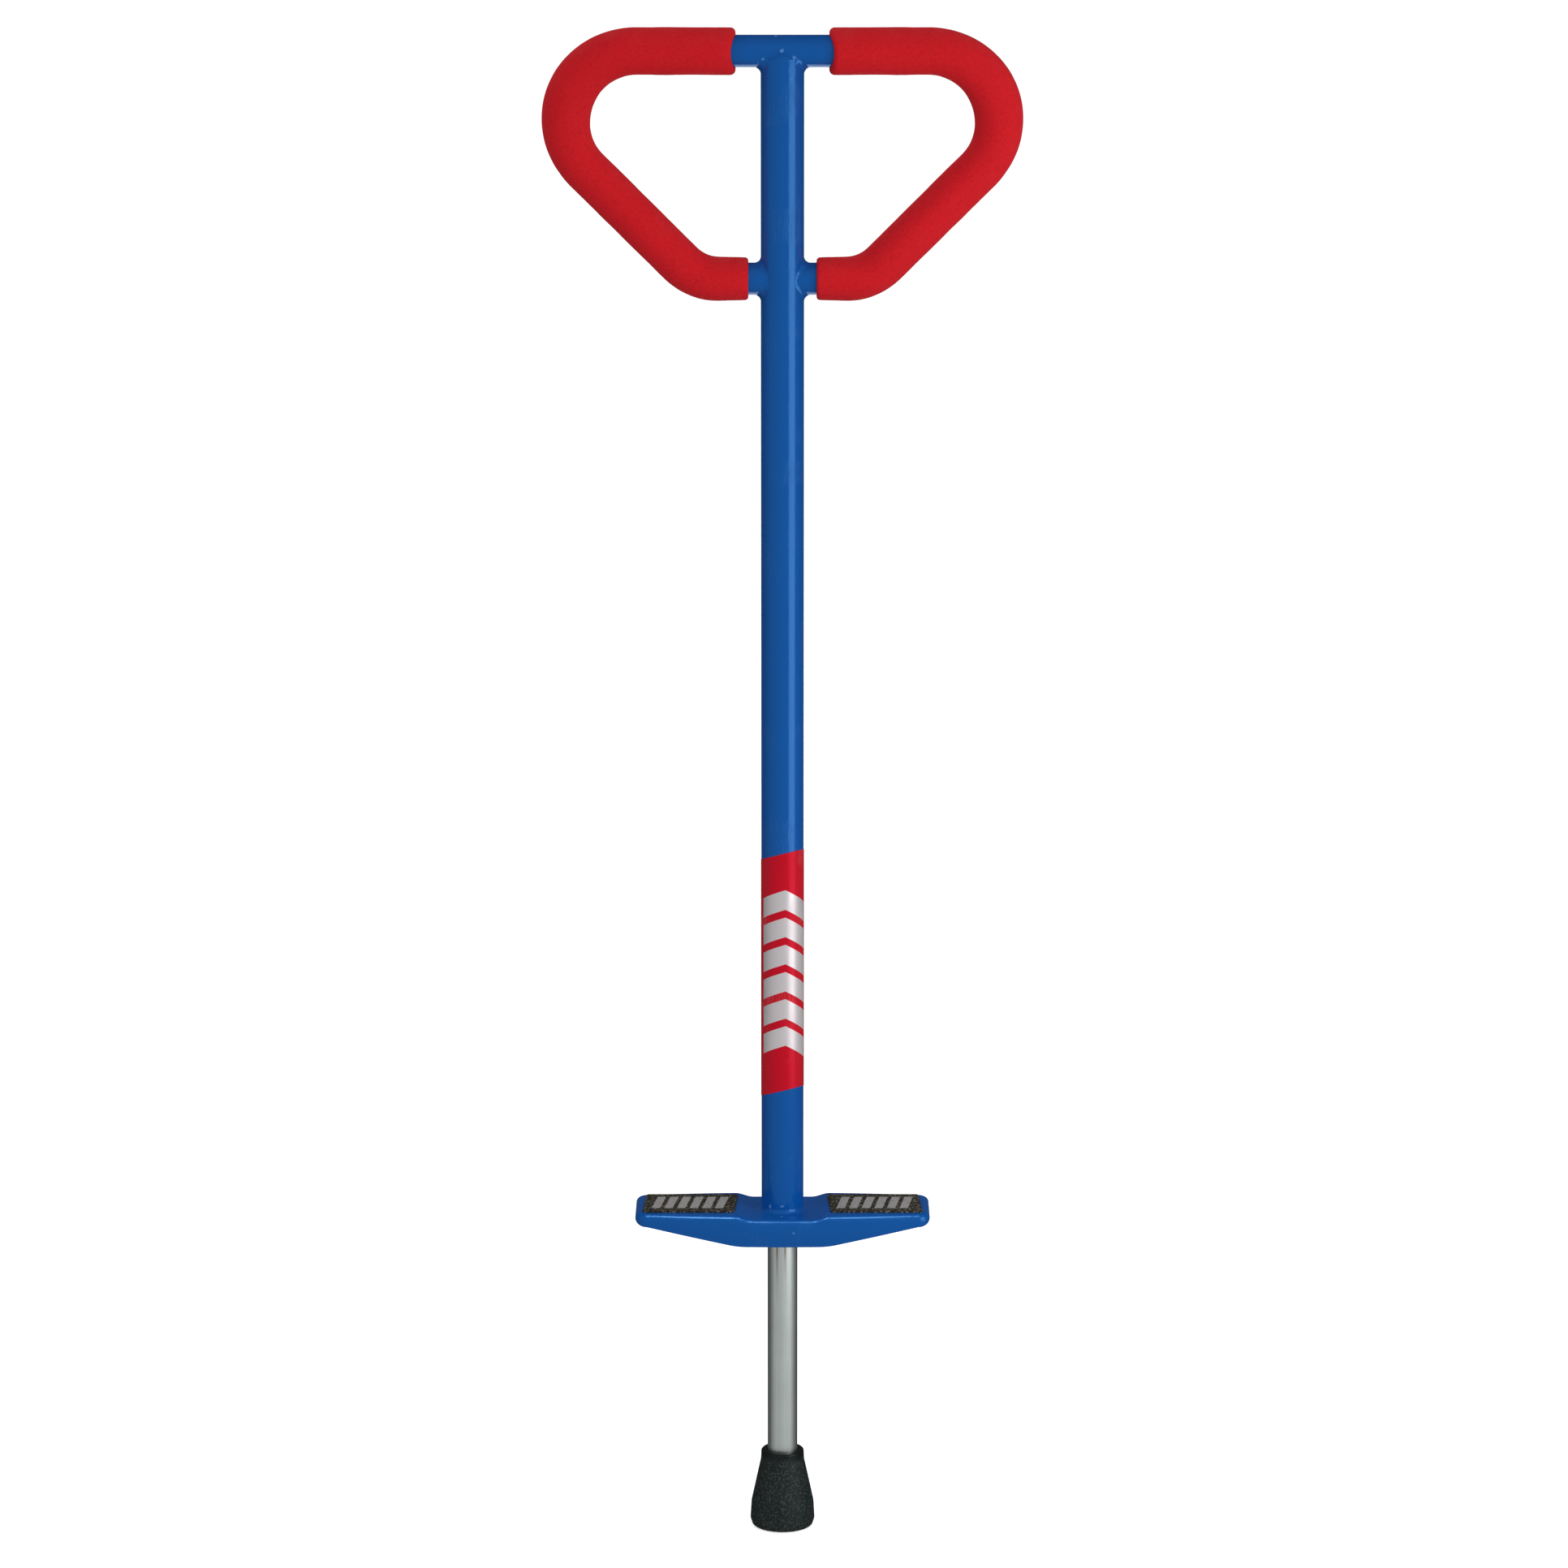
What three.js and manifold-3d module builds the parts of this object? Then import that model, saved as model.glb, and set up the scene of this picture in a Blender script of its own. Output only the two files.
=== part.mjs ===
// A pogo stick: a steel tube with looped foam-covered handles and a pressed-steel foot platform. A
// plunger with a rubber tip slides up into the tube against a long coil spring, and can also spin.
//
// Millimetres, +Z up. The origin is on the ground, on the tube's axis. +X is the right-hand handle and
// -Y is the front. Everything is drawn with the plunger fully out.

import * as THREE from "three";
import { mergeVertices } from "three/addons/utils/BufferGeometryUtils.js";
import Module from "manifold-3d";

const wasm = await Module();
wasm.setup();

// ---------------------------------------------------------------- driving dimensions

// Fits. Pieces that touch on the real stick are drawn this far apart.
const TOUCH = 0.3; // face to face
const SLIDE = 0.3; // radial, for the plunger's two running fits
const SNUG = 0.15; // radial, for small pins, screws and the wrapped decal

// Main tube
const TUBE_OD = 28;
const TUBE_WALL = 1.5;
const TIP_CLEARANCE = 33; // from the tube's bottom end down to the tip, with the plunger fully in

// Handle tube: one bent loop, its two ends welded to the main tube's sides
const BAR_OD = 21;
const BAR_WALL = 1.5;
const BAR_Z = 997.5; // centre line of the crossbar
const LOOP_HEIGHT = 147.5; // from the crossbar's centre line down to the two lower ends'
const LOOP_BEND_X = 94; // where the crossbar starts to bend down
const LOOP_RADIUS = 45; // of the big outer bend's centre line
const STUB_BEND_X = 40.8; // where the small lower bend meets the straight end
const STUB_RADIUS = 35; // of the small lower bend's centre line

// Foam grips, sleeves pulled over the loop
const FOAM_TOP_X = 30; // upper end's distance from the axis
const FOAM_STUB_X = 22; // lower end's distance from the axis
const FOAM_TOP_WALL = 4.7; // thickness at the crossbar,
const FOAM_BEND_WALL = 5.5; // round the big bend,
const FOAM_LEG_WALL = 4.1; // down the leg,
const FOAM_STUB_WALL = 3; // and at the lower end
const FOAM_EDGE = 3; // rounding of both ends, where the wall is thick enough
const FOAM_EDGE_SHARE = 0.65; // the most of the wall that the rounding may take

// Plunger
const SHAFT_WALL = 1.5;
const STROKE = 120; // the plunger_slide joint's range
const TIP_HEIGHT = 53;
const TIP_FLOOR = 14; // rubber under the shaft
const TIP_BASE_R = 21.6;
const TIP_SHOULDER_R = 21;
const TIP_SHOULDER_Z = 16;
const TIP_NECK_WALL = 4.4; // rubber round the shaft at the narrowing
const TIP_NECK_DROP = 7; // the narrowing's depth below the mouth
const TIP_MOUTH_WALL = 3.9; // rubber round the shaft at the mouth
const TIP_EDGE = 1.6; // chamfer round the tread
const TIP_LIP = 1; // chamfer round the mouth
const DISC_THICKNESS = 2; // steel disc that keeps the shaft from cutting the rubber
const DISC_HOLE_R = 3;

// Guides
const BUSH_WALL = 1.9; // sets the shaft's diameter, with the tube's bore and the clearances
const BUSH_LENGTH = 45;
const BUSH_FLANGE_INSET = 0.4; // how far the flange stays in from the tube's outside
const BUSH_FLANGE_THICKNESS = 2.4;
const BUMPER_THICKNESS = 8;
const GUIDE_LENGTH = 40;
const GUIDE_WEB = 5; // solid top of the upper guide
const GUIDE_CHAMFER = 1;
const GUIDE_PIN_OD = 4;
const GUIDE_PIN_DROP = 18; // below the guide's top

// Spring
const WIRE = 4;
const SPRING_CLEARANCE = 1; // radial, in the tube's bore
const SPRING_TURNS = 42;
const SPRING_LENGTH = 300; // installed, plunger out
const SEAT_THICKNESS = 3;
const SEAT_SPIGOT = 6;
const SEAT_SPIGOT_GAP = 1; // radial, between a seat's spigot and the coils
const STOP_PIN_OD = 8;

// Foot platform: an upside-down tray, its skirt deepest at the middle
const PLATE_LENGTH = 196;
const PLATE_DEPTH_MIDDLE = 59;
const PLATE_DEPTH_END = 49;
const PLATE_CORNER = 8;
const PLATE_FOLD = 4; // outer radius of the fold round the top
const PLATE_THICKNESS = 2;
const PLATE_DROP = 16.3; // from the middle of the top face down to the tube's bottom end
const PLATE_STEP = 2.7; // the two foot areas stand this far above the middle
const PLATE_STEP_X = 24; // where the ramp up to a foot area starts
const PLATE_RAMP = 6; // its length
const SKIRT_LIP = 2; // the skirt's middle reaches this far below the tube
const SKIRT_FLAT_X = 30; // half the straight middle stretch of the skirt's lower edge
const SKIRT_END = 6.5; // the skirt's depth at the two ends

// Anti-slip pads
const PAD_INNER_X = 31; // inner edge, halfway along the pad's depth
const PAD_END_MARGIN = 6; // from a pad to the platform's end, at the same place
const PAD_SIDE_MARGIN = 5.5; // from a pad to the platform's front and back, at its ends
const PAD_SKEW = 2.4; // how much further out a pad lies at the front than at the back
const PAD_CORNER = 2;
const PAD_THICKNESS = 0.9;

// Decal round the tube
const DECAL_BOTTOM_Z = 308;
const DECAL_HEIGHT = 162;
const DECAL_SLANT = 7; // rise of its two edges across the tube
const DECAL_THICKNESS = 0.2;
const DECAL_SEAM = 8; // gap at the back where the ends of the wrap face each other

// Screws that hold the lower bush
const SCREW_OD = 3.4;
const SCREW_HEAD_R = 3.5;
const SCREW_HEAD = 2.2;
const SCREW_DRIVE = 1; // width and depth of the cross slots
const SCREW_DROP = 9.3; // below the middle of the platform's top face
const SCREW_BITE = 1.1; // how far the point stops short of the bush's bore

// Welds
const WELD_R = 3; // bead on the handle joints
const WELD_LIFT = 1.5; // how far the bead's centre stands off both tubes
const PLATE_WELD = 3; // leg of the fillet round the tube on the platform

// Facets round a piece
const SIDES = 40; // pieces that slide or turn inside each other
const BAR_SIDES = 20; // handle tube and foam
const SMALL_SIDES = 16; // pins and screws
const WIRE_SIDES = 5;
const WIRE_STEPS = 8; // per turn of the spring
const BEND_STEP = (17 * Math.PI) / 180; // largest turn between two rings of a bent tube
const BEAD_SIDES = 6;
const BEAD_STEPS = 28;

// ---------------------------------------------------------------- sizes that follow

const tubeR = TUBE_OD / 2;
const tubeBoreR = tubeR - TUBE_WALL;
const tubeBottomZ = TIP_HEIGHT + STROKE + TIP_CLEARANCE;
const barR = BAR_OD / 2;
const stubZ = BAR_Z - LOOP_HEIGHT;
const bushR = tubeBoreR - TOUCH;
const guideR = tubeBoreR - SLIDE;
const slideBoreR = bushR - BUSH_WALL;
const shaftR = slideBoreR - SLIDE;
const socketR = shaftR + TOUCH; // of the bores that the shaft is fixed in
const springR = tubeBoreR - SPRING_CLEARANCE;
const plateTopZ = tubeBottomZ + PLATE_DROP;
const footTopZ = plateTopZ + PLATE_STEP;
const discZ = TIP_FLOOR + TOUCH;
const shaftBottomZ = discZ + DISC_THICKNESS + TOUCH;
const bushTopZ = tubeBottomZ - TOUCH + BUSH_LENGTH;
const bumperZ = bushTopZ + TOUCH;
const guideZ = bumperZ + BUMPER_THICKNESS + TOUCH;
const guideTopZ = guideZ + GUIDE_LENGTH;
const guidePinZ = guideTopZ - GUIDE_PIN_DROP;
const shaftTopZ = guideTopZ - GUIDE_WEB - TOUCH;
const lowerSeatZ = guideTopZ + TOUCH;
const springZ = lowerSeatZ + SEAT_THICKNESS + TOUCH;
const upperSeatZ = springZ + SPRING_LENGTH + TOUCH;
const stopPinZ = upperSeatZ + SEAT_THICKNESS + TOUCH + STOP_PIN_OD / 2;
const screwZ = plateTopZ - SCREW_DROP;

// ---------------------------------------------------------------- materials

const finish = (color, roughness, metalness) =>
  new THREE.MeshStandardMaterial({ color, roughness, metalness });

const bluePaint = finish(0x0a4fa3, 0.28, 0.1);
const redFoam = finish(0xb51d24, 0.85, 0);
const blackRubber = finish(0x1d2423, 0.85, 0);
const gritTape = finish(0x2b2a28, 0.95, 0);
const redVinyl = finish(0xc01a2b, 0.35, 0);
const zincSteel = finish(0xa6adad, 0.35, 0.9);
const springSteel = finish(0x4c4f52, 0.45, 0.9);
const whiteNylon = finish(0xe6e4dc, 0.5, 0);

// ---------------------------------------------------------------- shape helpers

// A closed geometry as a manifold-3d solid, with its shared vertices merged.
function solid(geometry) {
  const bare = geometry.index ? geometry.toNonIndexed() : geometry.clone();
  bare.deleteAttribute("normal");
  bare.deleteAttribute("uv");
  const merged = mergeVertices(bare, 1e-4);
  const vertProperties = merged.attributes.position.array;
  const triVerts = new Uint32Array(merged.index.array);
  return new wasm.Manifold(new wasm.Mesh({ numProp: 3, vertProperties, triVerts }));
}

// A manifold-3d solid as a geometry.
function geometryOf(body) {
  const { numProp, vertProperties, triVerts } = body.getMesh();
  const positions = new Float32Array((vertProperties.length / numProp) * 3);
  for (let i = 0; i < positions.length / 3; i++) {
    positions.set(vertProperties.subarray(i * numProp, i * numProp + 3), i * 3);
  }
  const geometry = new THREE.BufferGeometry();
  geometry.setAttribute("position", new THREE.BufferAttribute(positions, 3));
  geometry.setIndex(new THREE.BufferAttribute(new Uint32Array(triVerts), 1));
  return geometry;
}

// A profile of [radius, height] corners turned about Z. The profile closes on itself.
function turned(corners, sides = SIDES) {
  const points = corners.map(([r, h]) => new THREE.Vector2(r, h));
  if (THREE.ShapeUtils.area(points) < 0) points.reverse();
  points.push(points[0].clone());
  return new THREE.LatheGeometry(points, sides).rotateX(Math.PI / 2);
}

// A rod about Z with chamfered ends.
function rod(radius, from, to, chamfer = 0, sides = SIDES) {
  const ends = chamfer
    ? [[0, from], [radius - chamfer, from], [radius, from + chamfer],
       [radius, to - chamfer], [radius - chamfer, to], [0, to]]
    : [[0, from], [radius, from], [radius, to], [0, to]];
  return turnedRod(ends, sides);
}

// A profile of [radius, height] corners whose two ends lie on the Z axis, listed upwards.
function turnedRod(corners, sides = SIDES) {
  const points = corners.map(([r, h]) => new THREE.Vector2(r, h));
  return new THREE.LatheGeometry(points, sides).rotateX(Math.PI / 2);
}

// A ring about Z.
function ring(inner, outer, from, to, sides = SIDES) {
  return turned([[inner, from], [outer, from], [outer, to], [inner, to]], sides);
}

// Turns a geometry made about Z to lie along +X, then lifts it to height z.
const alongX = (geometry, z) => geometry.rotateY(Math.PI / 2).translate(0, 0, z);

// An outline in X and Z, extruded through the whole depth in Y.
function slab(corners, depth) {
  const shape = new THREE.Shape(corners.map(([x, z]) => new THREE.Vector2(x, z)));
  const geometry = new THREE.ExtrudeGeometry(shape, { depth, bevelEnabled: false });
  return geometry.rotateX(Math.PI / 2).translate(0, depth / 2, 0);
}

const mirrored = (body) => body.mirror([1, 0, 0]);

const pogoStick = new THREE.Group();

function add(parent, name, geometry, material) {
  const mesh = new THREE.Mesh(geometry, material);
  mesh.name = name;
  parent.add(mesh);
}

// ---------------------------------------------------------------- the handle loop's centre line

// The right half of the loop in X and Z, from the axis along the crossbar and back to the axis below.
// The straight leg is the line that touches both bends.
function loopLine() {
  const upper = new THREE.Vector2(LOOP_BEND_X, BAR_Z - LOOP_RADIUS);
  const lower = new THREE.Vector2(STUB_BEND_X, stubZ + STUB_RADIUS);
  const between = lower.clone().sub(upper);
  const towards = Math.atan2(between.y, between.x);
  const leg = towards - Math.asin((LOOP_RADIUS - STUB_RADIUS) / between.length()) + Math.PI / 2;
  return new THREE.Path()
    .moveTo(0, BAR_Z)
    .lineTo(LOOP_BEND_X, BAR_Z)
    .absarc(upper.x, upper.y, LOOP_RADIUS, Math.PI / 2, leg, true)
    .absarc(lower.x, lower.y, STUB_RADIUS, leg, -Math.PI / 2, true)
    .lineTo(0, stubZ);
}

const loop = loopLine();
const loopLength = loop.getLength();

// The distances along the loop at which the crossbar, the big bend and the leg end.
const loopJoins = loop.getCurveLengths().slice(0, 3);

// Where each bend of the loop starts and ends, and enough rings between to keep it round.
function loopStations() {
  const stations = [0];
  let start = 0;
  for (const curve of loop.curves) {
    const length = curve.getLength();
    const turn = curve.isEllipseCurve ? length / curve.xRadius : 0;
    const steps = Math.max(1, Math.ceil(turn / BEND_STEP));
    for (let i = 1; i <= steps; i++) stations.push(start + (length * i) / steps);
    start += length;
  }
  return stations;
}

const stations = loopStations();

// The loop's point, and its direction, at a distance along it.
function onLoop(distance) {
  let start = 0;
  for (const curve of loop.curves) {
    const length = curve.getLength();
    const last = curve === loop.curves[loop.curves.length - 1];
    if (distance <= start + length || last) {
      const t = THREE.MathUtils.clamp((distance - start) / length, 0, 1);
      return { point: curve.getPoint(t), along: curve.getTangent(t) };
    }
    start += length;
  }
}

// Bends a straight tube made about Z, its height being the distance along the loop.
function bent(geometry) {
  const at = geometry.attributes.position;
  for (let i = 0; i < at.count; i++) {
    const { point, along } = onLoop(at.getZ(i));
    const side = at.getX(i);
    at.setXYZ(i, point.x + along.y * side, at.getY(i), point.y - along.x * side);
  }
  return geometry;
}

// A tube round the loop between two distances, its outer radius given by a function of the distance.
function loopTube(innerR, outerRAt, from, to, extra = []) {
  const between = stations.filter((s) => s > from + 1 && s < to - 1);
  const rings = [from, ...between, ...extra, to].sort((a, b) => a - b);
  const outside = rings.map((s) => [outerRAt(s), s]);
  if (innerR === 0) return bent(turnedRod([[0, from], ...outside, [0, to]], BAR_SIDES));
  const inside = [from, ...between, to].map((s) => [innerR, s]).reverse();
  return bent(turned([...outside, ...inside], BAR_SIDES));
}

// ---------------------------------------------------------------- frame

function mainTube() {
  const blank = solid(ring(tubeBoreR, tubeR, tubeBottomZ, BAR_Z));
  const crossbar = solid(alongX(rod(barR + TOUCH, -TUBE_OD, TUBE_OD, 0, BAR_SIDES), BAR_Z));
  const stopHole = solid(alongX(rod(STOP_PIN_OD / 2 + SNUG, -TUBE_OD, TUBE_OD, 0, SMALL_SIDES), stopPinZ));
  const screwHole = solid(alongX(rod(SCREW_OD / 2 + SNUG, -TUBE_OD, TUBE_OD, 0, SMALL_SIDES), screwZ));
  return geometryOf(blank.subtract(crossbar).subtract(stopHole).subtract(screwHole));
}

function handleTube() {
  const half = solid(loopTube(barR - BAR_WALL, () => barR, 0, loopLength));
  const clearOfTube = solid(rod(tubeR + TOUCH, stubZ - BAR_OD, stubZ + BAR_OD));
  const cut = half.subtract(clearOfTube);
  return geometryOf(cut.add(mirrored(cut)));
}

// A ring of weld round a centre line, given by a function of the angle round the joint's middle, and cut
// back to clear the two tubes that it joins.
function bead(centreAt, middle, ...tubes) {
  const ringR = 2 * WELD_R;
  const section = Array.from({ length: BEAD_SIDES }, (_, i) => {
    const angle = (2 * Math.PI * i) / BEAD_SIDES;
    return [ringR + WELD_R * Math.cos(angle), WELD_R * Math.sin(angle)];
  });
  const geometry = turned(section, BEAD_STEPS);
  const at = geometry.attributes.position;
  const ahead = Math.PI / BEAD_STEPS;
  for (let i = 0; i < at.count; i++) {
    const angle = Math.atan2(at.getY(i), at.getX(i));
    const centre = centreAt(angle);
    const along = centreAt(angle + ahead).sub(centreAt(angle - ahead)).normalize();
    const across = centre.clone().sub(middle).projectOnPlane(along).normalize();
    const up = across.clone().cross(along);
    const out = Math.hypot(at.getX(i), at.getY(i)) - ringR;
    const placed = centre.addScaledVector(across, out).addScaledVector(up, at.getZ(i));
    at.setXYZ(i, placed.x, placed.y, placed.z);
  }
  return tubes.reduce((body, tube) => body.subtract(solid(tube)), solid(geometry));
}

// Round a lower end of the loop, where it meets the main tube's side.
function stubWeld() {
  const r = barR + WELD_LIFT;
  const seam = (angle) => {
    const y = r * Math.cos(angle);
    return new THREE.Vector3(Math.sqrt((tubeR + WELD_LIFT) ** 2 - y * y), y, stubZ + r * Math.sin(angle));
  };
  const tube = rod(tubeR + TOUCH, stubZ - TUBE_OD, stubZ + TUBE_OD);
  const stub = alongX(rod(barR + TOUCH, 0, 2 * TUBE_OD, 0, BAR_SIDES), stubZ);
  return bead(seam, new THREE.Vector3(tubeR, 0, stubZ), tube, stub);
}

// Round the top of the main tube. Under the crossbar the seam follows both tubes; at the front and back,
// where the tube is the wider of the two, it runs straight along the bar on the tube's end face.
function crossbarWeld() {
  const r = barR + WELD_LIFT;
  const seam = (angle) => {
    const out = Math.min(tubeR + WELD_LIFT, r / Math.abs(Math.sin(angle)));
    const y = out * Math.sin(angle);
    return new THREE.Vector3(out * Math.cos(angle), y, BAR_Z - Math.sqrt(Math.max(r * r - y * y, 0)));
  };
  const tube = rod(tubeR + TOUCH, BAR_Z - TUBE_OD, BAR_Z + TOUCH);
  const bar = alongX(rod(barR + TOUCH, -TUBE_OD, TUBE_OD, 0, BAR_SIDES), BAR_Z);
  return bead(seam, new THREE.Vector3(0, 0, BAR_Z - r), tube, bar);
}

function platformWeld() {
  const inner = tubeR + TOUCH;
  const base = plateTopZ + TOUCH;
  return turned([[inner, base], [inner + PLATE_WELD, base], [inner, base + PLATE_WELD]]);
}

// ---------------------------------------------------------------- foot platform

// The tray seen from above, drawn in by inset all round.
function trayOutline(inset) {
  const x = PLATE_LENGTH / 2 - inset;
  const y = PLATE_DEPTH_END / 2 - inset;
  const bow = PLATE_DEPTH_MIDDLE - PLATE_DEPTH_END + y;
  const r = PLATE_CORNER - inset;
  return new THREE.Shape()
    .moveTo(-x + r, -y)
    .quadraticCurveTo(0, -bow, x - r, -y)
    .absarc(x - r, -y + r, r, -Math.PI / 2, 0)
    .absarc(x - r, y - r, r, 0, Math.PI / 2)
    .quadraticCurveTo(0, bow, -x + r, y)
    .absarc(-x + r, y - r, r, Math.PI / 2, Math.PI)
    .absarc(-x + r, -y + r, r, Math.PI, 1.5 * Math.PI);
}

// A block of the tray's outline with a rounded upper edge at height top.
function trayBlock(inset, top) {
  const fold = PLATE_FOLD - inset;
  const depth = 2 * PLATE_DROP;
  const geometry = new THREE.ExtrudeGeometry(trayOutline(inset), {
    depth,
    curveSegments: 5,
    bevelThickness: fold,
    bevelSize: fold,
    bevelOffset: -fold,
    bevelSegments: 3,
  });
  return solid(geometry.translate(0, 0, top - depth - fold));
}

// The pressed form: a low middle, and a ramp up to a foot area on each side. The inside of the sheet is
// the same form drawn in by its thickness.
function pressing(inset) {
  const block = trayBlock(inset, plateTopZ - inset);
  const slope = Math.atan2(PLATE_STEP, PLATE_RAMP);
  const start = PLATE_STEP_X + inset * Math.tan(slope / 2);
  const lift = (x) => PLATE_STEP * THREE.MathUtils.clamp((Math.abs(x) - start) / PLATE_RAMP, 0, 1);
  const cuts = [-PLATE_LENGTH / 2, -start - PLATE_RAMP, -start, start, start + PLATE_RAMP, PLATE_LENGTH / 2];
  const slices = cuts.slice(1).map((to, i) => {
    const from = cuts[i];
    const corners = [[from, 0], [to, 0], [to, BAR_Z], [from, BAR_Z]];
    const slice = geometryOf(block.intersect(solid(slab(corners, 2 * PLATE_DEPTH_MIDDLE))));
    const at = slice.attributes.position;
    for (let n = 0; n < at.count; n++) at.setZ(n, at.getZ(n) + lift(at.getX(n)));
    return solid(slice);
  });
  return slices.reduce((whole, slice) => whole.add(slice));
}

function footPlatform() {
  const x = PLATE_LENGTH / 2 + 1;
  const lipZ = tubeBottomZ - SKIRT_LIP;
  const endZ = footTopZ - SKIRT_END;
  const roundX = x - PLATE_FOLD;
  const side = [
    [-SKIRT_FLAT_X, lipZ], [SKIRT_FLAT_X, lipZ], [roundX, endZ], [x, endZ + PLATE_FOLD],
    [x, footTopZ + 1], [-x, footTopZ + 1], [-x, endZ + PLATE_FOLD], [-roundX, endZ],
  ];
  const tubeHole = solid(rod(tubeR + TOUCH, lipZ - 1, footTopZ + 1));
  const outside = pressing(0).intersect(solid(slab(side, 2 * PLATE_DEPTH_MIDDLE)));
  return geometryOf(outside.subtract(pressing(PLATE_THICKNESS)).subtract(tubeHole));
}

// A pad for the right foot area: a parallelogram with rounded corners.
function footPad() {
  const y = PLATE_DEPTH_END / 2 - PAD_SIDE_MARGIN;
  const inner = PAD_INNER_X;
  const outer = PLATE_LENGTH / 2 - PAD_END_MARGIN;
  const half = PAD_SKEW / 2;
  const c = PAD_CORNER;
  const shape = new THREE.Shape()
    .moveTo(inner + half + c, -y)
    .lineTo(outer + half - c, -y)
    .quadraticCurveTo(outer + half, -y, outer + half, -y + c)
    .lineTo(outer - half, y - c)
    .quadraticCurveTo(outer - half, y, outer - half - c, y)
    .lineTo(inner - half + c, y)
    .quadraticCurveTo(inner - half, y, inner - half, y - c)
    .lineTo(inner + half, -y + c)
    .quadraticCurveTo(inner + half, -y, inner + half + c, -y);
  const options = { depth: PAD_THICKNESS, curveSegments: 3, bevelEnabled: false };
  return solid(new THREE.ExtrudeGeometry(shape, options).translate(0, 0, footTopZ + TOUCH));
}

// ---------------------------------------------------------------- grips and decal

// The foam's thickness along the loop, eased from one stretch to the next.
function foamWall(distance) {
  const [topEnd, bendEnd, legEnd] = loopJoins;
  const stretches = [
    [topEnd, FOAM_TOP_WALL],
    [(topEnd + bendEnd) / 2, FOAM_BEND_WALL],
    [bendEnd, FOAM_LEG_WALL],
    [legEnd, FOAM_LEG_WALL],
    [loopLength, FOAM_STUB_WALL],
  ];
  const next = stretches.findIndex(([s]) => s > distance);
  if (next === 0) return FOAM_TOP_WALL;
  const [s0, wall0] = stretches[next - 1];
  const [s1, wall1] = stretches[next];
  return wall0 + (wall1 - wall0) * THREE.MathUtils.smoothstep(distance, s0, s1);
}

function foamGrip() {
  const bore = barR + TOUCH;
  const from = FOAM_TOP_X;
  const to = loopLength - FOAM_STUB_X;
  const edgeAt = (s) => Math.min(FOAM_EDGE, FOAM_EDGE_SHARE * foamWall(s));
  const rounded = (s) => {
    const edge = edgeAt(s);
    const into = Math.min(s - from, to - s, edge);
    return bore + foamWall(s) - edge + Math.sqrt(edge * edge - (edge - into) ** 2);
  };
  const ends = [0.25, 1].flatMap((share) => [from + share * edgeAt(from), to - share * edgeAt(to)]);
  const body = solid(loopTube(0, rounded, from, to, ends));
  const tube = solid(loopTube(0, () => bore, 0, loopLength));
  return body.subtract(tube);
}

function tubeDecal() {
  const inner = tubeR + SNUG;
  const outer = inner + DECAL_THICKNESS;
  const rise = DECAL_SLANT / 2;
  const top = DECAL_BOTTOM_Z + DECAL_HEIGHT;
  const band = [
    [-tubeR, DECAL_BOTTOM_Z - rise], [tubeR, DECAL_BOTTOM_Z + rise],
    [tubeR, top + rise], [-tubeR, top - rise],
  ].map(([x, z]) => [x * 1.1, z]);
  const wrap = solid(ring(inner, outer, DECAL_BOTTOM_Z - TUBE_OD, top + TUBE_OD));
  const seam = new THREE.BoxGeometry(DECAL_SEAM, TUBE_OD, 2 * DECAL_HEIGHT).translate(0, tubeR, top);
  return geometryOf(wrap.intersect(solid(slab(band, 2 * TUBE_OD))).subtract(solid(seam)));
}

// ---------------------------------------------------------------- guides, spring and plunger

function lowerBush() {
  const rim = tubeR - BUSH_FLANGE_INSET;
  const flangeTop = tubeBottomZ - TOUCH;
  const flangeBottom = flangeTop - BUSH_FLANGE_THICKNESS;
  const body = solid(turned([
    [slideBoreR, flangeBottom], [rim, flangeBottom], [rim, flangeTop],
    [bushR, flangeTop], [bushR, bushTopZ], [slideBoreR, bushTopZ],
  ]));
  const screwHole = solid(alongX(rod(SCREW_OD / 2 + SNUG, -TUBE_OD, TUBE_OD, 0, SMALL_SIDES), screwZ));
  return geometryOf(body.subtract(screwHole));
}

// The right-hand screw, with a round head outside the tube and a cross drive.
function bushScrew() {
  const point = slideBoreR + SCREW_BITE;
  const face = tubeR + TOUCH;
  const shank = SCREW_OD / 2;
  const profile = [
    [0, point], [shank / 2, point], [shank, point + shank / 2], [shank, face],
    [SCREW_HEAD_R, face], [SCREW_HEAD_R, face + SCREW_HEAD / 2], [SCREW_HEAD_R * 0.7, face + SCREW_HEAD],
    [0, face + SCREW_HEAD],
  ];
  const screw = solid(alongX(turnedRod(profile, SMALL_SIDES), screwZ));
  const slot = (y, z) =>
    solid(new THREE.BoxGeometry(2 * SCREW_DRIVE, y, z).translate(face + SCREW_HEAD, 0, screwZ));
  return screw.subtract(slot(SCREW_DRIVE, SCREW_HEAD_R)).subtract(slot(SCREW_HEAD_R, SCREW_DRIVE));
}

function upperGuide() {
  const webZ = guideTopZ - GUIDE_WEB;
  const cap = turnedRod([
    [0, webZ], [socketR, webZ], [socketR, guideZ], [guideR, guideZ],
    [guideR, guideTopZ - GUIDE_CHAMFER], [guideR - GUIDE_CHAMFER, guideTopZ], [0, guideTopZ],
  ]);
  return geometryOf(solid(cap).subtract(pinHole()));
}

function pinHole() {
  return solid(alongX(rod(GUIDE_PIN_OD / 2 + SNUG, -TUBE_OD, TUBE_OD, 0, SMALL_SIDES), guidePinZ));
}

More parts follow.
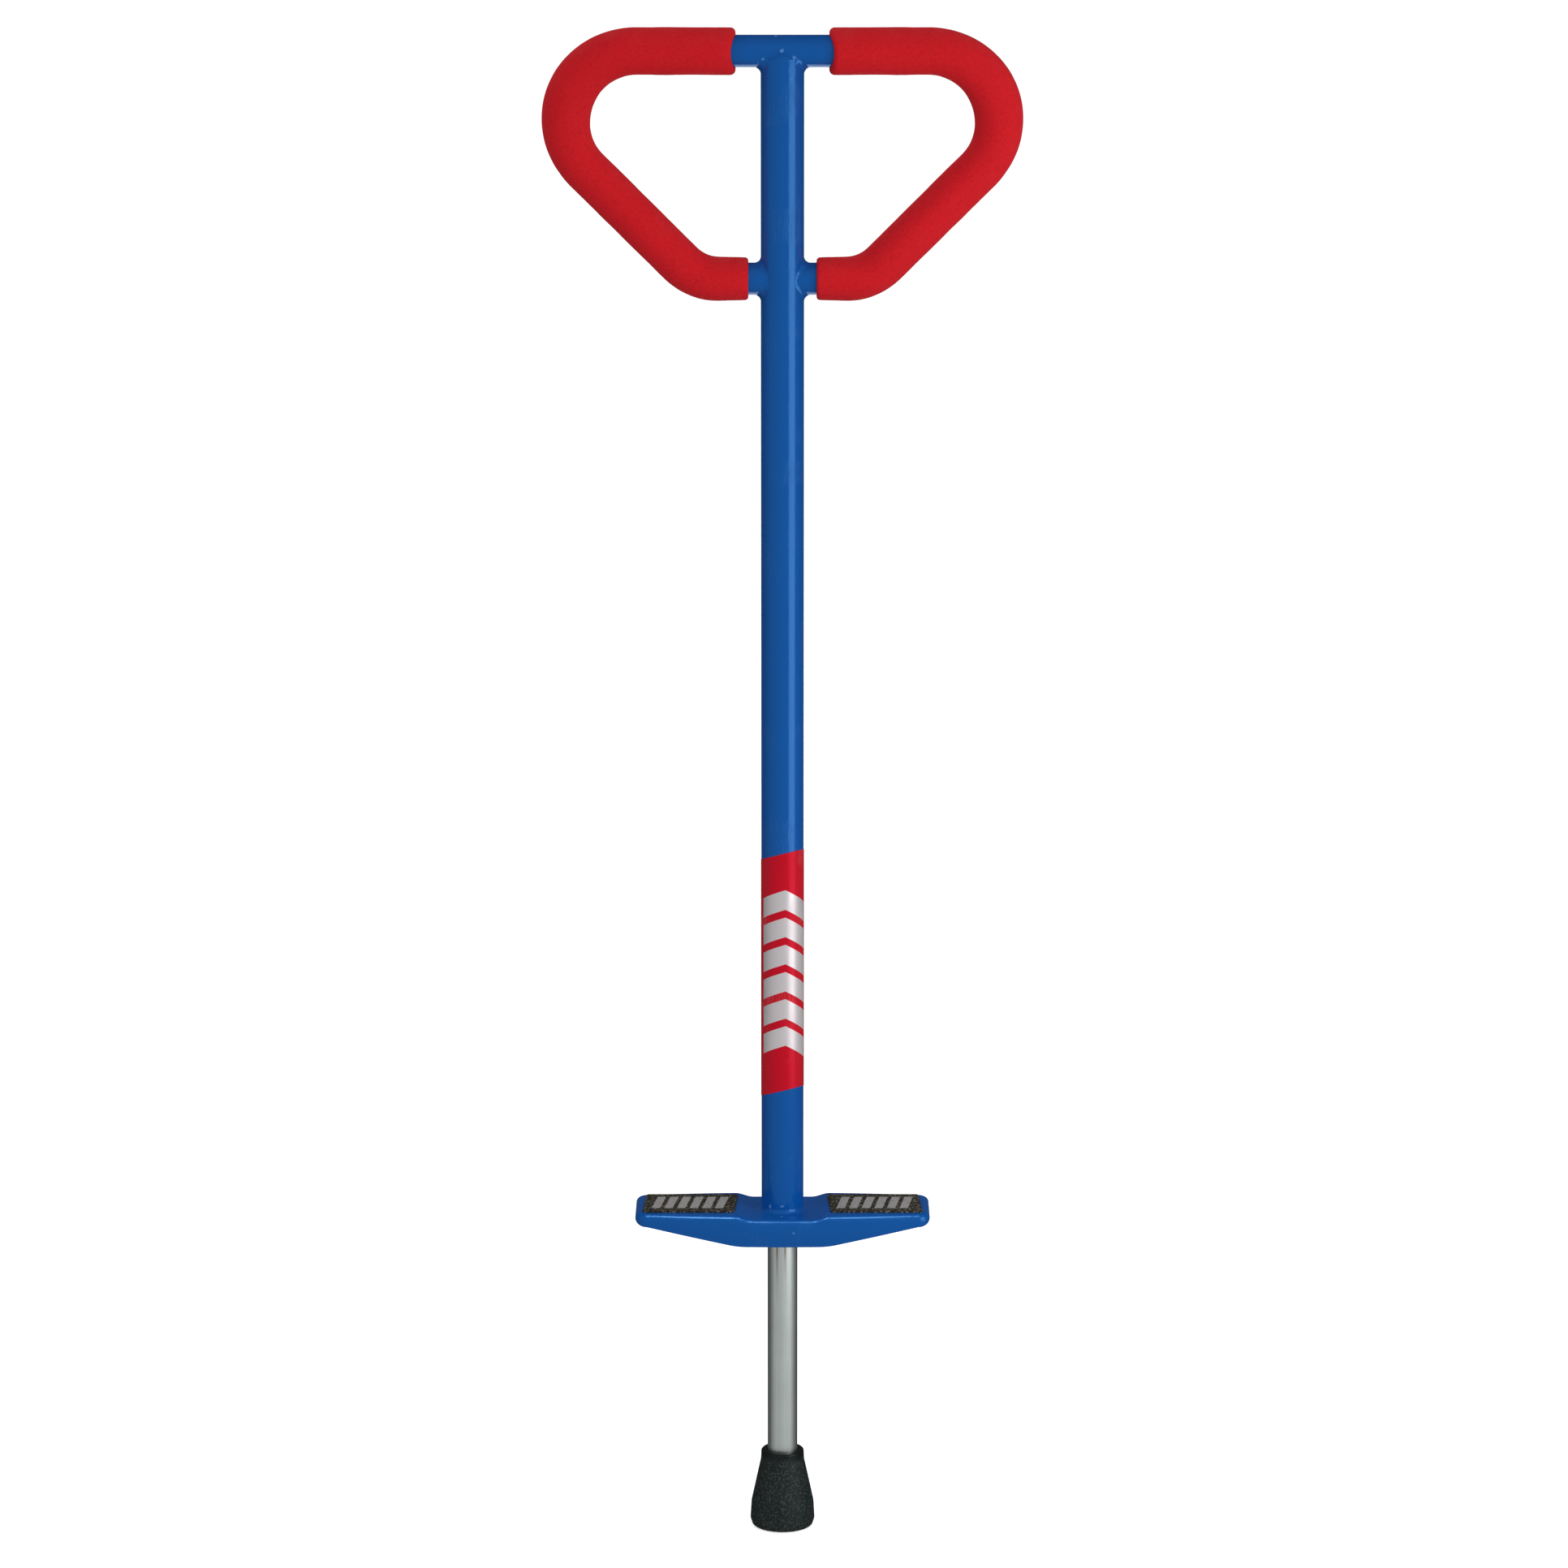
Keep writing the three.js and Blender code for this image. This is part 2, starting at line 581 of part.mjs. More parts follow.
function guidePin() {
  const reach = guideR - GUIDE_CHAMFER;
  return alongX(rod(GUIDE_PIN_OD / 2, -reach, reach, GUIDE_PIN_OD / 8, SMALL_SIDES), guidePinZ);
}

function shaftTube() {
  const blank = ring(shaftR - SHAFT_WALL, shaftR, shaftBottomZ, shaftTopZ);
  return geometryOf(solid(blank).subtract(pinHole()));
}

// A steel disc with a spigot that centres the end coil; it stands at height z, spigot up or down.
function springSeat(z, up) {
  const spigotR = springR - WIRE - SEAT_SPIGOT_GAP;
  const disc = guideR - SLIDE;
  const corners = [
    [0, 0], [disc, 0], [disc, SEAT_THICKNESS], [spigotR, SEAT_THICKNESS],
    [spigotR, SEAT_THICKNESS + SEAT_SPIGOT - 1], [spigotR - 1, SEAT_THICKNESS + SEAT_SPIGOT],
    [0, SEAT_THICKNESS + SEAT_SPIGOT],
  ];
  const seat = turnedRod(corners);
  return up ? seat.translate(0, 0, z) : seat.rotateX(Math.PI).translate(0, 0, z + SEAT_THICKNESS);
}

// The coils' centre line. The end turns lie closed, and the turns between share the rest evenly.
class SpringLine extends THREE.Curve {
  constructor() {
    super();
    this.arcLengthDivisions = SPRING_TURNS * WIRE_STEPS * 2;
  }

  getPoint(t, target = new THREE.Vector3()) {
    const turn = t * SPRING_TURNS;
    const closed = WIRE * 1.03;
    const pitch = (SPRING_LENGTH - WIRE - 2 * closed) / (SPRING_TURNS - 2);
    const open = THREE.MathUtils.clamp(turn - 1, 0, SPRING_TURNS - 2);
    const rise = closed * (turn - open) + pitch * open;
    const r = springR - WIRE / 2;
    const angle = turn * 2 * Math.PI;
    return target.set(r * Math.cos(angle), r * Math.sin(angle), springZ + WIRE / 2 + rise);
  }
}

function mainSpring() {
  const section = new THREE.Shape();
  for (let i = 0; i < WIRE_SIDES; i++) {
    const angle = (2 * Math.PI * i) / WIRE_SIDES;
    const corner = [(WIRE / 2) * Math.cos(angle), (WIRE / 2) * Math.sin(angle)];
    if (i === 0) section.moveTo(...corner);
    else section.lineTo(...corner);
  }
  const options = { steps: SPRING_TURNS * WIRE_STEPS, extrudePath: new SpringLine() };
  return new THREE.ExtrudeGeometry(section, options);
}

function rubberTip() {
  const mouthR = socketR + TIP_MOUTH_WALL;
  const neckR = socketR + TIP_NECK_WALL;
  return turnedRod([
    [0, 0], [TIP_BASE_R - TIP_EDGE, 0], [TIP_BASE_R, TIP_EDGE], [TIP_SHOULDER_R, TIP_SHOULDER_Z],
    [neckR, TIP_HEIGHT - TIP_NECK_DROP], [mouthR, TIP_HEIGHT - TIP_LIP], [mouthR - TIP_LIP, TIP_HEIGHT],
    [socketR, TIP_HEIGHT], [socketR, TIP_FLOOR], [0, TIP_FLOOR],
  ]);
}

// ---------------------------------------------------------------- assembly

const frame = new THREE.Group();
const seat = new THREE.Group(); // slides with the plunger but doesn't spin
const plunger = new THREE.Group();
pogoStick.add(frame, seat, plunger);

add(frame, "main_tube", mainTube(), bluePaint);
add(frame, "handle_tube", handleTube(), bluePaint);
add(frame, "crossbar_weld", geometryOf(crossbarWeld()), bluePaint);
add(frame, "stub_weld_right", geometryOf(stubWeld()), bluePaint);
add(frame, "stub_weld_left", geometryOf(mirrored(stubWeld())), bluePaint);
add(frame, "foot_platform", footPlatform(), bluePaint);
add(frame, "platform_weld", platformWeld(), bluePaint);
add(frame, "foot_pad_right", geometryOf(footPad()), gritTape);
add(frame, "foot_pad_left", geometryOf(mirrored(footPad())), gritTape);
add(frame, "foam_grip_right", geometryOf(foamGrip()), redFoam);
add(frame, "foam_grip_left", geometryOf(mirrored(foamGrip())), redFoam);
add(frame, "tube_decal", tubeDecal(), redVinyl);
add(frame, "lower_bush", lowerBush(), whiteNylon);
add(frame, "bush_screw_right", geometryOf(bushScrew()), zincSteel);
add(frame, "bush_screw_left", geometryOf(mirrored(bushScrew())), zincSteel);
const bumper = ring(slideBoreR, bushR, bumperZ, bumperZ + BUMPER_THICKNESS);
add(frame, "rebound_bumper", bumper, blackRubber);
const stopPin = alongX(rod(STOP_PIN_OD / 2, -tubeR, tubeR, 0, SMALL_SIDES), stopPinZ);
add(frame, "spring_stop_pin", stopPin, bluePaint); // its ends are painted over with the tube
add(frame, "upper_spring_seat", springSeat(upperSeatZ, false), zincSteel);
add(frame, "main_spring", mainSpring(), springSteel);

add(seat, "lower_spring_seat", springSeat(lowerSeatZ, true), zincSteel);

add(plunger, "shaft_tube", shaftTube(), zincSteel);
add(plunger, "upper_guide", upperGuide(), whiteNylon);
add(plunger, "guide_pin", guidePin(), zincSteel);
const disc = ring(DISC_HOLE_R, shaftR - TOUCH, discZ, discZ + DISC_THICKNESS);
add(plunger, "tip_disc", disc, zincSteel);
add(plunger, "rubber_tip", rubberTip(), blackRubber);

export default pogoStick;
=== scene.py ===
# %% [markdown]
# # A pogo stick, finished in Blender
# The measured frame of the stick comes in first: every tube, weld, pad and coil as a plain solid, each
# on the moving body that it belongs to. The cells below give each of them its fine shape and its
# finish. Everything is in metres, X to the right, Y to the back and Z up.

# %% Load the frame
import bmesh
import bpy
import math
from mathutils import Matrix, Vector, noise


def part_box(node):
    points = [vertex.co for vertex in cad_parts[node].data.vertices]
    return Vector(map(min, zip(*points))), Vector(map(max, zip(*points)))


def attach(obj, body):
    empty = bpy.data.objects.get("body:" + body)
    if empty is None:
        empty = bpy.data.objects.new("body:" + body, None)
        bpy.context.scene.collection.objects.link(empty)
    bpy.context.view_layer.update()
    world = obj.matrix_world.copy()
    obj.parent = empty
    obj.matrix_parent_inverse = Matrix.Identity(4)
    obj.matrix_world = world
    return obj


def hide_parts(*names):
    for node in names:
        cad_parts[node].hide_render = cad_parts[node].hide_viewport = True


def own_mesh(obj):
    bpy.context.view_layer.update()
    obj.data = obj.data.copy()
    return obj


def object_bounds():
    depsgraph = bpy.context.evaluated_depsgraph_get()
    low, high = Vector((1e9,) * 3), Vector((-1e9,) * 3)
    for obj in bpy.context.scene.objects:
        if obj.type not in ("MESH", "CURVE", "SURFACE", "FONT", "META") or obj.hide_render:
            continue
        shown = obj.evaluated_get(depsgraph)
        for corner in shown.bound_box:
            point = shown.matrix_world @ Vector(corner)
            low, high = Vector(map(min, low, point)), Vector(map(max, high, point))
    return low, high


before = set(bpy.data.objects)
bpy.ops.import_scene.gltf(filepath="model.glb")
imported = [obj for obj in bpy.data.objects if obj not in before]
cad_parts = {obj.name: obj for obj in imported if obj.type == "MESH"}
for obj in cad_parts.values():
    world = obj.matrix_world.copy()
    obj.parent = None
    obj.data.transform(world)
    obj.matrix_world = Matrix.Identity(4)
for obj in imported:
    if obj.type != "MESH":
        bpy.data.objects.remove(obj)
cad_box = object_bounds()

# %% [markdown]
# ## Camera, floor and light
# A long lens from a few metres away keeps the tall tube straight. The camera stands a little above the
# foot plate, so that its top face shows. The floor is a plain pale sheet.

# %% Camera
AIM_RIGHT = 0.001
AIM_HEIGHT = 0.514
CAMERA_DISTANCE = 4.5
CAMERA_RISE = math.radians(14)
LENS_MM = 157.2
SENSOR_MM = 36
SEES_TO = 200  # metres


def aimed(thing, target):
    """Turns a camera or lamp to look at a point."""
    thing.rotation_euler = (Vector(target) - thing.location).to_track_quat("-Z", "Y").to_euler()


aim = Vector((AIM_RIGHT, 0, AIM_HEIGHT))
back_off = Vector((0, -math.cos(CAMERA_RISE), math.sin(CAMERA_RISE))) * CAMERA_DISTANCE
bpy.ops.object.camera_add(location=aim + back_off)
camera = bpy.context.object
camera.name = "camera"
camera.data.lens = LENS_MM
camera.data.sensor_width = SENSOR_MM
camera.data.clip_end = SEES_TO
aimed(camera, aim)
bpy.context.scene.camera = camera
print("camera at", tuple(round(v, 3) for v in camera.location))

# %% [markdown]
# A node tree is easier to read when each node is one line. The first helper adds a node and fills its
# sockets: a number or colour is typed in, and another node's output is wired in. The others are the
# few steps that nearly every finish needs: arithmetic, mixing, easing and taking a position apart.

# %% Node helpers
def put(tree, kind, inputs=None, **settings):
    """Adds a node, sets it, and types in or wires up its inputs."""
    made = tree.nodes.new(kind)
    for key, value in settings.items():
        setattr(made, key, value)
    for key, value in (inputs or {}).items():
        if isinstance(value, bpy.types.NodeSocket):
            tree.links.new(value, made.inputs[key])
        else:
            made.inputs[key].default_value = value
    return made


def sums(tree, operation, *values, clamp=False):
    """One step of arithmetic."""
    wired = dict(enumerate(values))
    return put(tree, "ShaderNodeMath", wired, operation=operation, use_clamp=clamp).outputs[0]


def times(tree, *values):
    """Values multiplied together."""
    product = values[0]
    for value in values[1:]:
        product = sums(tree, "MULTIPLY", product, value)
    return product


def highest(tree, masks):
    """The largest of several masks."""
    top = masks[0]
    for mask in masks[1:]:
        top = sums(tree, "MAXIMUM", top, mask)
    return top


def mixed(tree, share, first, second):
    """A colour between two colours."""
    return put(tree, "ShaderNodeMix", {0: share, 6: first, 7: second}, data_type="RGBA").outputs[2]


def ramp(tree, value, low, high, to_low=0.0, to_high=1.0, smooth=True):
    """A value eased from one range to another."""
    wired = {"Value": value, "From Min": low, "From Max": high, "To Min": to_low, "To Max": to_high}
    kind = "SMOOTHSTEP" if smooth else "LINEAR"
    return put(tree, "ShaderNodeMapRange", wired, interpolation_type=kind, clamp=True).outputs[0]


def apart(tree, vector):
    """The three parts of a position."""
    return put(tree, "ShaderNodeSeparateXYZ", {0: vector}).outputs


print("node helpers ready")

# %% Floor
FLOOR_SIZE = 80
FLOOR_GAP = 0.0004  # the foot doesn't quite touch it
WHITE = (1, 1, 1, 1)
PAPER_GREY = (0.9, 0.9, 0.9, 1)
PAPER_GLOW = 0.6
bpy.ops.mesh.primitive_plane_add(size=FLOOR_SIZE, location=(0, 0, cad_box[0].z - FLOOR_GAP))
floor = bpy.context.object
floor.name = "studio_floor"
floor.visible_glossy = floor.visible_diffuse = False  # the stick is lit by the studio, not by the paper
paper = bpy.data.materials.new("floor_paper")
paper.use_nodes = True
paper_shader = paper.node_tree.nodes["Principled BSDF"]
paper_shader.inputs["Base Color"].default_value = PAPER_GREY
paper_shader.inputs["Roughness"].default_value = 0.9
paper_shader.inputs["Specular IOR Level"].default_value = 0.0
paper_shader.inputs["Emission Color"].default_value = WHITE
paper_shader.inputs["Emission Strength"].default_value = PAPER_GLOW
floor.data.materials.append(paper)
print("floor", FLOOR_SIZE, "m across")

# %% [markdown]
# Gloss needs something to mirror. The studio round the stick is a soft wall of light in front, dim
# towards the back, so that the flanks of each tube stay dark. A low panel straight behind gives the
# tubes a streak in views from the back. The light on matt surfaces is a little stronger from above.

# %% World
FRONT_FROM, FRONT_TO = 0.55, -0.75  # the wall of light grows from the back to the front
WALL_DIM, WALL_BRIGHT = 0.05, 0.45
PANEL_HALF, PANEL_EDGE = math.radians(5), math.radians(13)
PANEL_LIGHT = 1.7
PANEL_TOP = (-0.06, -0.16)
AMBIENT_BELOW, AMBIENT_ABOVE = 0.36, 0.56
world = bpy.data.worlds.new("studio")
bpy.context.scene.world = world
world.use_nodes = True
tree = world.node_tree
tree.nodes.clear()
look = apart(tree, put(tree, "ShaderNodeTexCoord").outputs["Generated"])
front = ramp(tree, look["Y"], FRONT_FROM, FRONT_TO, WALL_DIM, WALL_BRIGHT)
turn = sums(tree, "ARCTAN2", look["X"], times(tree, look["Y"], -1.0))
from_rear = sums(tree, "ABSOLUTE", sums(tree, "SUBTRACT", sums(tree, "ABSOLUTE", turn), math.pi))
rear_panel = ramp(tree, from_rear, PANEL_HALF, PANEL_EDGE, PANEL_LIGHT, 0.0)
rear_panel = times(tree, rear_panel, ramp(tree, look["Z"], *PANEL_TOP))
mirror_light = sums(tree, "ADD", front, rear_panel)
path = put(tree, "ShaderNodeLightPath").outputs
ambient = ramp(tree, look["Z"], -1.0, 1.0, AMBIENT_BELOW, AMBIENT_ABOVE, smooth=False)
lit = put(tree, "ShaderNodeMix", {0: path["Is Glossy Ray"], 2: ambient, 3: mirror_light}).outputs[0]
seen = put(tree, "ShaderNodeMix", {0: path["Is Camera Ray"], 2: lit, 3: 1.0}).outputs[0]
glow = put(tree, "ShaderNodeBackground", {"Color": WHITE, "Strength": seen})
output = put(tree, "ShaderNodeOutputWorld")
tree.links.new(glow.outputs[0], output.inputs["Surface"])
bpy.context.scene.view_settings.view_transform = "Standard"
print("world has", len(tree.nodes), "nodes")

# %% [markdown]
# A few lamps shape it. The tall one stands close by at the front right: its mirror image is the long
# streak down each tube, and its bottom edge is high enough that the shaft doesn't catch it. The key
# lamp is further off and higher, the fill lamp softens the left, and the rear lamp is for views from
# behind. The two fold lamps draw a fine line on the foot plate's edge: light linking keeps them to
# the objects in one collection.

# %% Lamps
def lamp(name, place, look_at, size, power, mirrored):
    """A soft rectangular lamp that the camera doesn't see."""
    bpy.ops.object.light_add(type="AREA", location=place)
    made = bpy.context.object
    made.name = name
    made.data.shape = "RECTANGLE"
    made.data.size, made.data.size_y = size
    made.data.energy = power
    made.visible_glossy = mirrored
    made.visible_camera = False
    aimed(made, look_at)
    return made


STREAK_TURN = math.radians(52)
STREAK_AWAY = 0.85
STREAK_HEIGHT = 0.53
FOLD_X = 0.11
streak_at = Vector((math.sin(STREAK_TURN), -math.cos(STREAK_TURN), 0)) * STREAK_AWAY
streak_up = Vector((0, 0, STREAK_HEIGHT))
lamp("streak_lamp", streak_at + streak_up, streak_up, size=(0.52, 0.96), power=3.4, mirrored=True)
lamp("key_lamp", (1.0, -2.6, 2.2), (0, 0, 0.6), size=(1.3, 1.6), power=15, mirrored=False)
lamp("fill_lamp", (-2.6, -1.2, 1.2), (0, 0, 0.5), size=(1.2, 2.0), power=8, mirrored=False)
lamp("rear_lamp", (-0.8, 2.6, 1.9), (0, 0, 0.5), size=(1.4, 1.4), power=22, mirrored=False)
fold_only = bpy.data.collections.new("fold_only")
for name, side, power in (("fold_lamp_right", 1, 0.9), ("fold_lamp_left", -1, 1.3)):
    above, fold = (side * FOLD_X, -0.2, 0.9), (side * FOLD_X, -0.027, 0.22)
    made = lamp(name, above, fold, size=(0.15, 0.35), power=power, mirrored=True)
    made.visible_diffuse = False
    made.light_linking.receiver_collection = fold_only
print("six lamps")

# %% [markdown]
# ## Shared effects
# Real surfaces share their flaws: colour that drifts a little from place to place, fine hairlines,
# dust on what faces up, pores in rubber and foam, and the drawn lines on steel. Each effect is one
# node group with named sockets, so each finish can use it at its own scale and strength.

# %% Group helper
def effect(name, inputs, outputs):
    """An empty shader node group with these named sockets."""
    group = bpy.data.node_groups.new(name, "ShaderNodeTree")
    for socket, value in inputs.items():
        kind = "NodeSocketVector" if value is None else "NodeSocketFloat"
        made = group.interface.new_socket(socket, in_out="INPUT", socket_type=kind)
        if value is not None:
            made.default_value = value
    for socket in outputs:
        group.interface.new_socket(socket, in_out="OUTPUT", socket_type="NodeSocketFloat")
    return group, put(group, "NodeGroupInput").outputs, put(group, "NodeGroupOutput")


def wire_out(group, end, values):
    """Wires the finished values to the group's outputs."""
    for socket, value in values.items():
        group.links.new(value, end.inputs[socket])


CLOUD = (0.3, 0.7)  # where most of a cloudy value lies


def noise_at(tree, place, scale, detail=2.0, rough=0.5):
    """A cloudy value between about 0 and 1."""
    wired = {"Vector": place, "Scale": scale, "Detail": detail, "Roughness": rough}
    return put(tree, "ShaderNodeTexNoise", wired).outputs["Fac"]


print("group helpers ready")

# %% Uneven colour
uneven, given, end = effect("uneven_tone", {"Place": None, "Scale": 20.0, "Spread": 0.1}, ["Tone"])
cloud = noise_at(uneven, given["Place"], given["Scale"], 4.0, 0.55)
drift = times(uneven, sums(uneven, "SUBTRACT", cloud, 0.5), given["Spread"])
wire_out(uneven, end, {"Tone": sums(uneven, "ADD", times(uneven, drift, 2.0), 1.0)})
print(uneven.name, len(uneven.nodes), "nodes")

# %% Pores
pores, given, end = effect("pores", {"Place": None, "Scale": 900.0, "Softness": 0.5}, ["Height", "Pit"])
wired = {"Vector": given["Place"], "Scale": given["Scale"]}
cell = put(pores, "ShaderNodeTexVoronoi", wired, feature="F1").outputs["Distance"]
rough = noise_at(pores, given["Place"], times(pores, given["Scale"], 0.45), 3.0, 0.6)
blend = put(pores, "ShaderNodeMix", {0: given["Softness"], 2: cell, 3: rough}).outputs[0]
pit = ramp(pores, rough, 0.36, 0.5, 1.0, 0.0)
wire_out(pores, end, {"Height": blend, "Pit": pit})
print(pores.name, len(pores.nodes), "nodes")

# %% Hairlines
LINE_STRETCH = (900, 900, 26)  # fine across and long along
LINE_WIDTH = (0.004, 0.012)
PATCH = (0.56, 0.66)  # the lines show only where a slow noise is in or over this range
hairlines, given, end = effect("hairlines", {"Place": None, "Fineness": 1.0}, ["Mask"])
placed = put(hairlines, "ShaderNodeVectorMath", {0: given["Place"], 3: given["Fineness"]},
             operation="SCALE").outputs[0]
marks = []
for turned_by, patch_scale in ((0.5, 32.934), (-0.9, 32.956), (1.45, 32.967)):
    wired = {"Vector": placed, "Rotation": (0.3, turned_by, 0.2), "Scale": LINE_STRETCH}
    lined = put(hairlines, "ShaderNodeMapping", wired).outputs[0]
    depth = sums(hairlines, "SUBTRACT", noise_at(hairlines, lined, 1.0, 1.0), 0.5)
    line = ramp(hairlines, sums(hairlines, "ABSOLUTE", depth), *LINE_WIDTH, 1.0, 0.0)
    where = ramp(hairlines, noise_at(hairlines, placed, patch_scale, 1.0), *PATCH)
    marks.append(times(hairlines, line, where))
wire_out(hairlines, end, {"Mask": highest(hairlines, marks)})
print(hairlines.name, len(hairlines.nodes), "nodes")

# %% Dust
dust, given, end = effect("dust", {"Place": None, "Amount": 0.3}, ["Mask"])
up = apart(dust, put(dust, "ShaderNodeNewGeometry").outputs["Normal"])["Z"]
facing = ramp(dust, up, 0.2, 0.95, 0.12, 1.0)
film = ramp(dust, noise_at(dust, given["Place"], 70, 6.0, 0.65), 0.42, 0.72)
specks = ramp(dust, noise_at(dust, given["Place"], 1500, 1.0), 0.72, 0.78)
both = highest(dust, [times(dust, film, 0.45), specks])
wire_out(dust, end, {"Mask": times(dust, both, facing, given["Amount"])})
print(dust.name, len(dust.nodes), "nodes")

# %% Drawn steel
drawn, given, end = effect("drawn_lines", {"Place": None, "Lines": 1500.0, "Length": 8.0}, ["Height", "Tone"])
line_scale = put(drawn, "ShaderNodeCombineXYZ", {0: given["Lines"], 1: given["Lines"], 2: given["Length"]})
lined = put(drawn, "ShaderNodeVectorMath", {0: given["Place"], 1: line_scale.outputs[0]},
            operation="MULTIPLY").outputs[0]
fine = noise_at(drawn, lined, 1.0, 2.0)
broad = noise_at(drawn, lined, 0.16, 3.0)
tone = sums(drawn, "ADD", times(drawn, fine, 0.5), times(drawn, broad, 0.5))
wire_out(drawn, end, {"Height": fine, "Tone": tone})
print(drawn.name, len(drawn.nodes), "nodes")

# %% Weld spatter, with a painted highlight
SHAKE = 0.0016  # how far, in metres, a drop's outline strays from a circle
DROP_SIZE = (0.2, 0.42)
spatter_and_highlight, given, end = effect("spatter_and_highlight", {"Place": None, "Scale": 300.0, "Share": 0.2}, ["Mask"])
wobble = put(spatter_and_highlight, "ShaderNodeTexNoise", {"Vector": given["Place"], "Scale": 500.0}).outputs["Color"]
shaken = put(spatter_and_highlight, "ShaderNodeVectorMath", {0: wobble, 3: SHAKE}, operation="SCALE").outputs[0]
shaken = put(spatter_and_highlight, "ShaderNodeVectorMath", {0: given["Place"], 1: shaken}, operation="ADD").outputs[0]
drop = put(spatter_and_highlight, "ShaderNodeTexVoronoi", {"Vector": shaken, "Scale": given["Scale"]}, feature="F1").outputs
chosen = put(spatter_and_highlight, "ShaderNodeSeparateColor", {0: drop["Color"]}).outputs[0]
chosen = sums(spatter_and_highlight, "LESS_THAN", chosen, given["Share"])
round_drop = ramp(spatter_and_highlight, drop["Distance"], *DROP_SIZE, 1.0, 0.0)
wire_out(spatter_and_highlight, end, {"Mask": times(spatter_and_highlight, round_drop, chosen)})
print(spatter_and_highlight.name, len(spatter_and_highlight.nodes), "nodes")

# %% [markdown]
# ## The finishes
# One material per finish. Numbers that are the same all over are typed on the shader. Colour,
# roughness and the height that drives the bump come from the shared effects, read from the piece's
# own place in space, so that nothing slides when the stick moves.

# %% Finish helpers
def new_finish(name, **numbers):
    """A material, its shader and the position that its patterns read."""
    material = bpy.data.materials.new(name)
    material.use_nodes = True
    tree = material.node_tree
    shader = tree.nodes["Principled BSDF"]
    for socket, value in numbers.items():
        shader.inputs[socket.replace("_", " ")].default_value = value
    return material, tree, shader, put(tree, "ShaderNodeTexCoord").outputs["Object"]


def use(tree, group, inputs):
    """Places a shared effect in a material, and gives its outputs."""
    return put(tree, "ShaderNodeGroup", inputs, node_tree=group).outputs


def tinted(tree, colour, tone):
    """A colour made lighter or darker by a value."""
    grey = put(tree, "ShaderNodeCombineColor", {0: tone, 1: tone, 2: tone}).outputs[0]
    wired = {0: 1.0, 6: colour, 7: grey}
    return put(tree, "ShaderNodeMix", wired, data_type="RGBA", blend_type="MULTIPLY").outputs[2]


def dress(tree, shader, colour, roughness, height, relief):
    """Wires colour, roughness and bump to the shader; relief is the depth of the bump in metres."""
    tree.links.new(colour, shader.inputs["Base Color"])
    tree.links.new(roughness, shader.inputs["Roughness"])
    bump = put(tree, "ShaderNodeBump", {"Strength": 1.0, "Distance": relief, "Height": height})
    tree.links.new(bump.outputs[0], shader.inputs["Normal"])


print("finish helpers ready")

# %% Blue paint
BLUE = (0.0025, 0.086, 0.37, 1)
DUST_GREY = (0.36, 0.35, 0.33, 1)
# The pale blue of the spatter drops is a painted highlight.
SPATTER_HIGHLIGHT_BLUE = (0.11, 0.3, 0.68, 1)
SCRATCH_BLUE = (0.08, 0.2, 0.5, 1)
BLUE_SHEEN = (0.18, 0.52, 1.0, 1)
PAINT_RELIEF = 0.00006
SPATTER_EDGE = 0.002
blue_paint, tree, shader, place = new_finish("blue_gloss_paint", Specular_IOR_Level=1.0)
shader.inputs["Specular Tint"].default_value = BLUE_SHEEN
tone = use(tree, uneven, {"Place": place, "Scale": 9.0, "Spread": 0.07})["Tone"]
dusty = use(tree, dust, {"Place": place, "Amount": 0.03})["Mask"]
scratch = use(tree, hairlines, {"Place": place, "Fineness": 1.0})["Mask"]
colour = tinted(tree, BLUE, tone)
colour = mixed(tree, times(tree, scratch, 0.2), colour, SCRATCH_BLUE)
under_bar = (0, 0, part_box("crossbar_weld")[1].z - 0.006)
foot_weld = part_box("platform_weld")[0]
at_foot = (0, foot_weld.y - 0.004, foot_weld.z)
# Weld spatter near the top joint and the foot weld: its drops are real bumps, and their pale colour is a
# painted highlight.
beads_and_highlight = use(tree, spatter_and_highlight, {"Place": place, "Scale": 250.0, "Share": 0.11})["Mask"]
near = []
for spot, reach in ((under_bar, 0.017), (at_foot, 0.014)):
    away = put(tree, "ShaderNodeVectorMath", {0: place, 1: spot}, operation="DISTANCE").outputs["Value"]
    near.append(ramp(tree, away, reach, reach + SPATTER_EDGE, 1.0, 0.0))
beads_and_highlight = times(tree, beads_and_highlight, highest(tree, near))
colour = mixed(tree, times(tree, beads_and_highlight, 0.7), colour, SPATTER_HIGHLIGHT_BLUE)
colour = mixed(tree, dusty, colour, DUST_GREY)
gloss = ramp(tree, noise_at(tree, place, 35, 4.0), *CLOUD, 0.14, 0.2)
gloss = sums(tree, "ADD", gloss, times(tree, dusty, 0.6), clamp=True)
skin = noise_at(tree, place, 420, 2.0)
skin = sums(tree, "SUBTRACT", skin, times(tree, scratch, 0.25))
skin = sums(tree, "ADD", skin, times(tree, beads_and_highlight, 4.0))
dress(tree, shader, colour, gloss, skin, PAINT_RELIEF)
print(blue_paint.name, len(tree.nodes), "nodes")

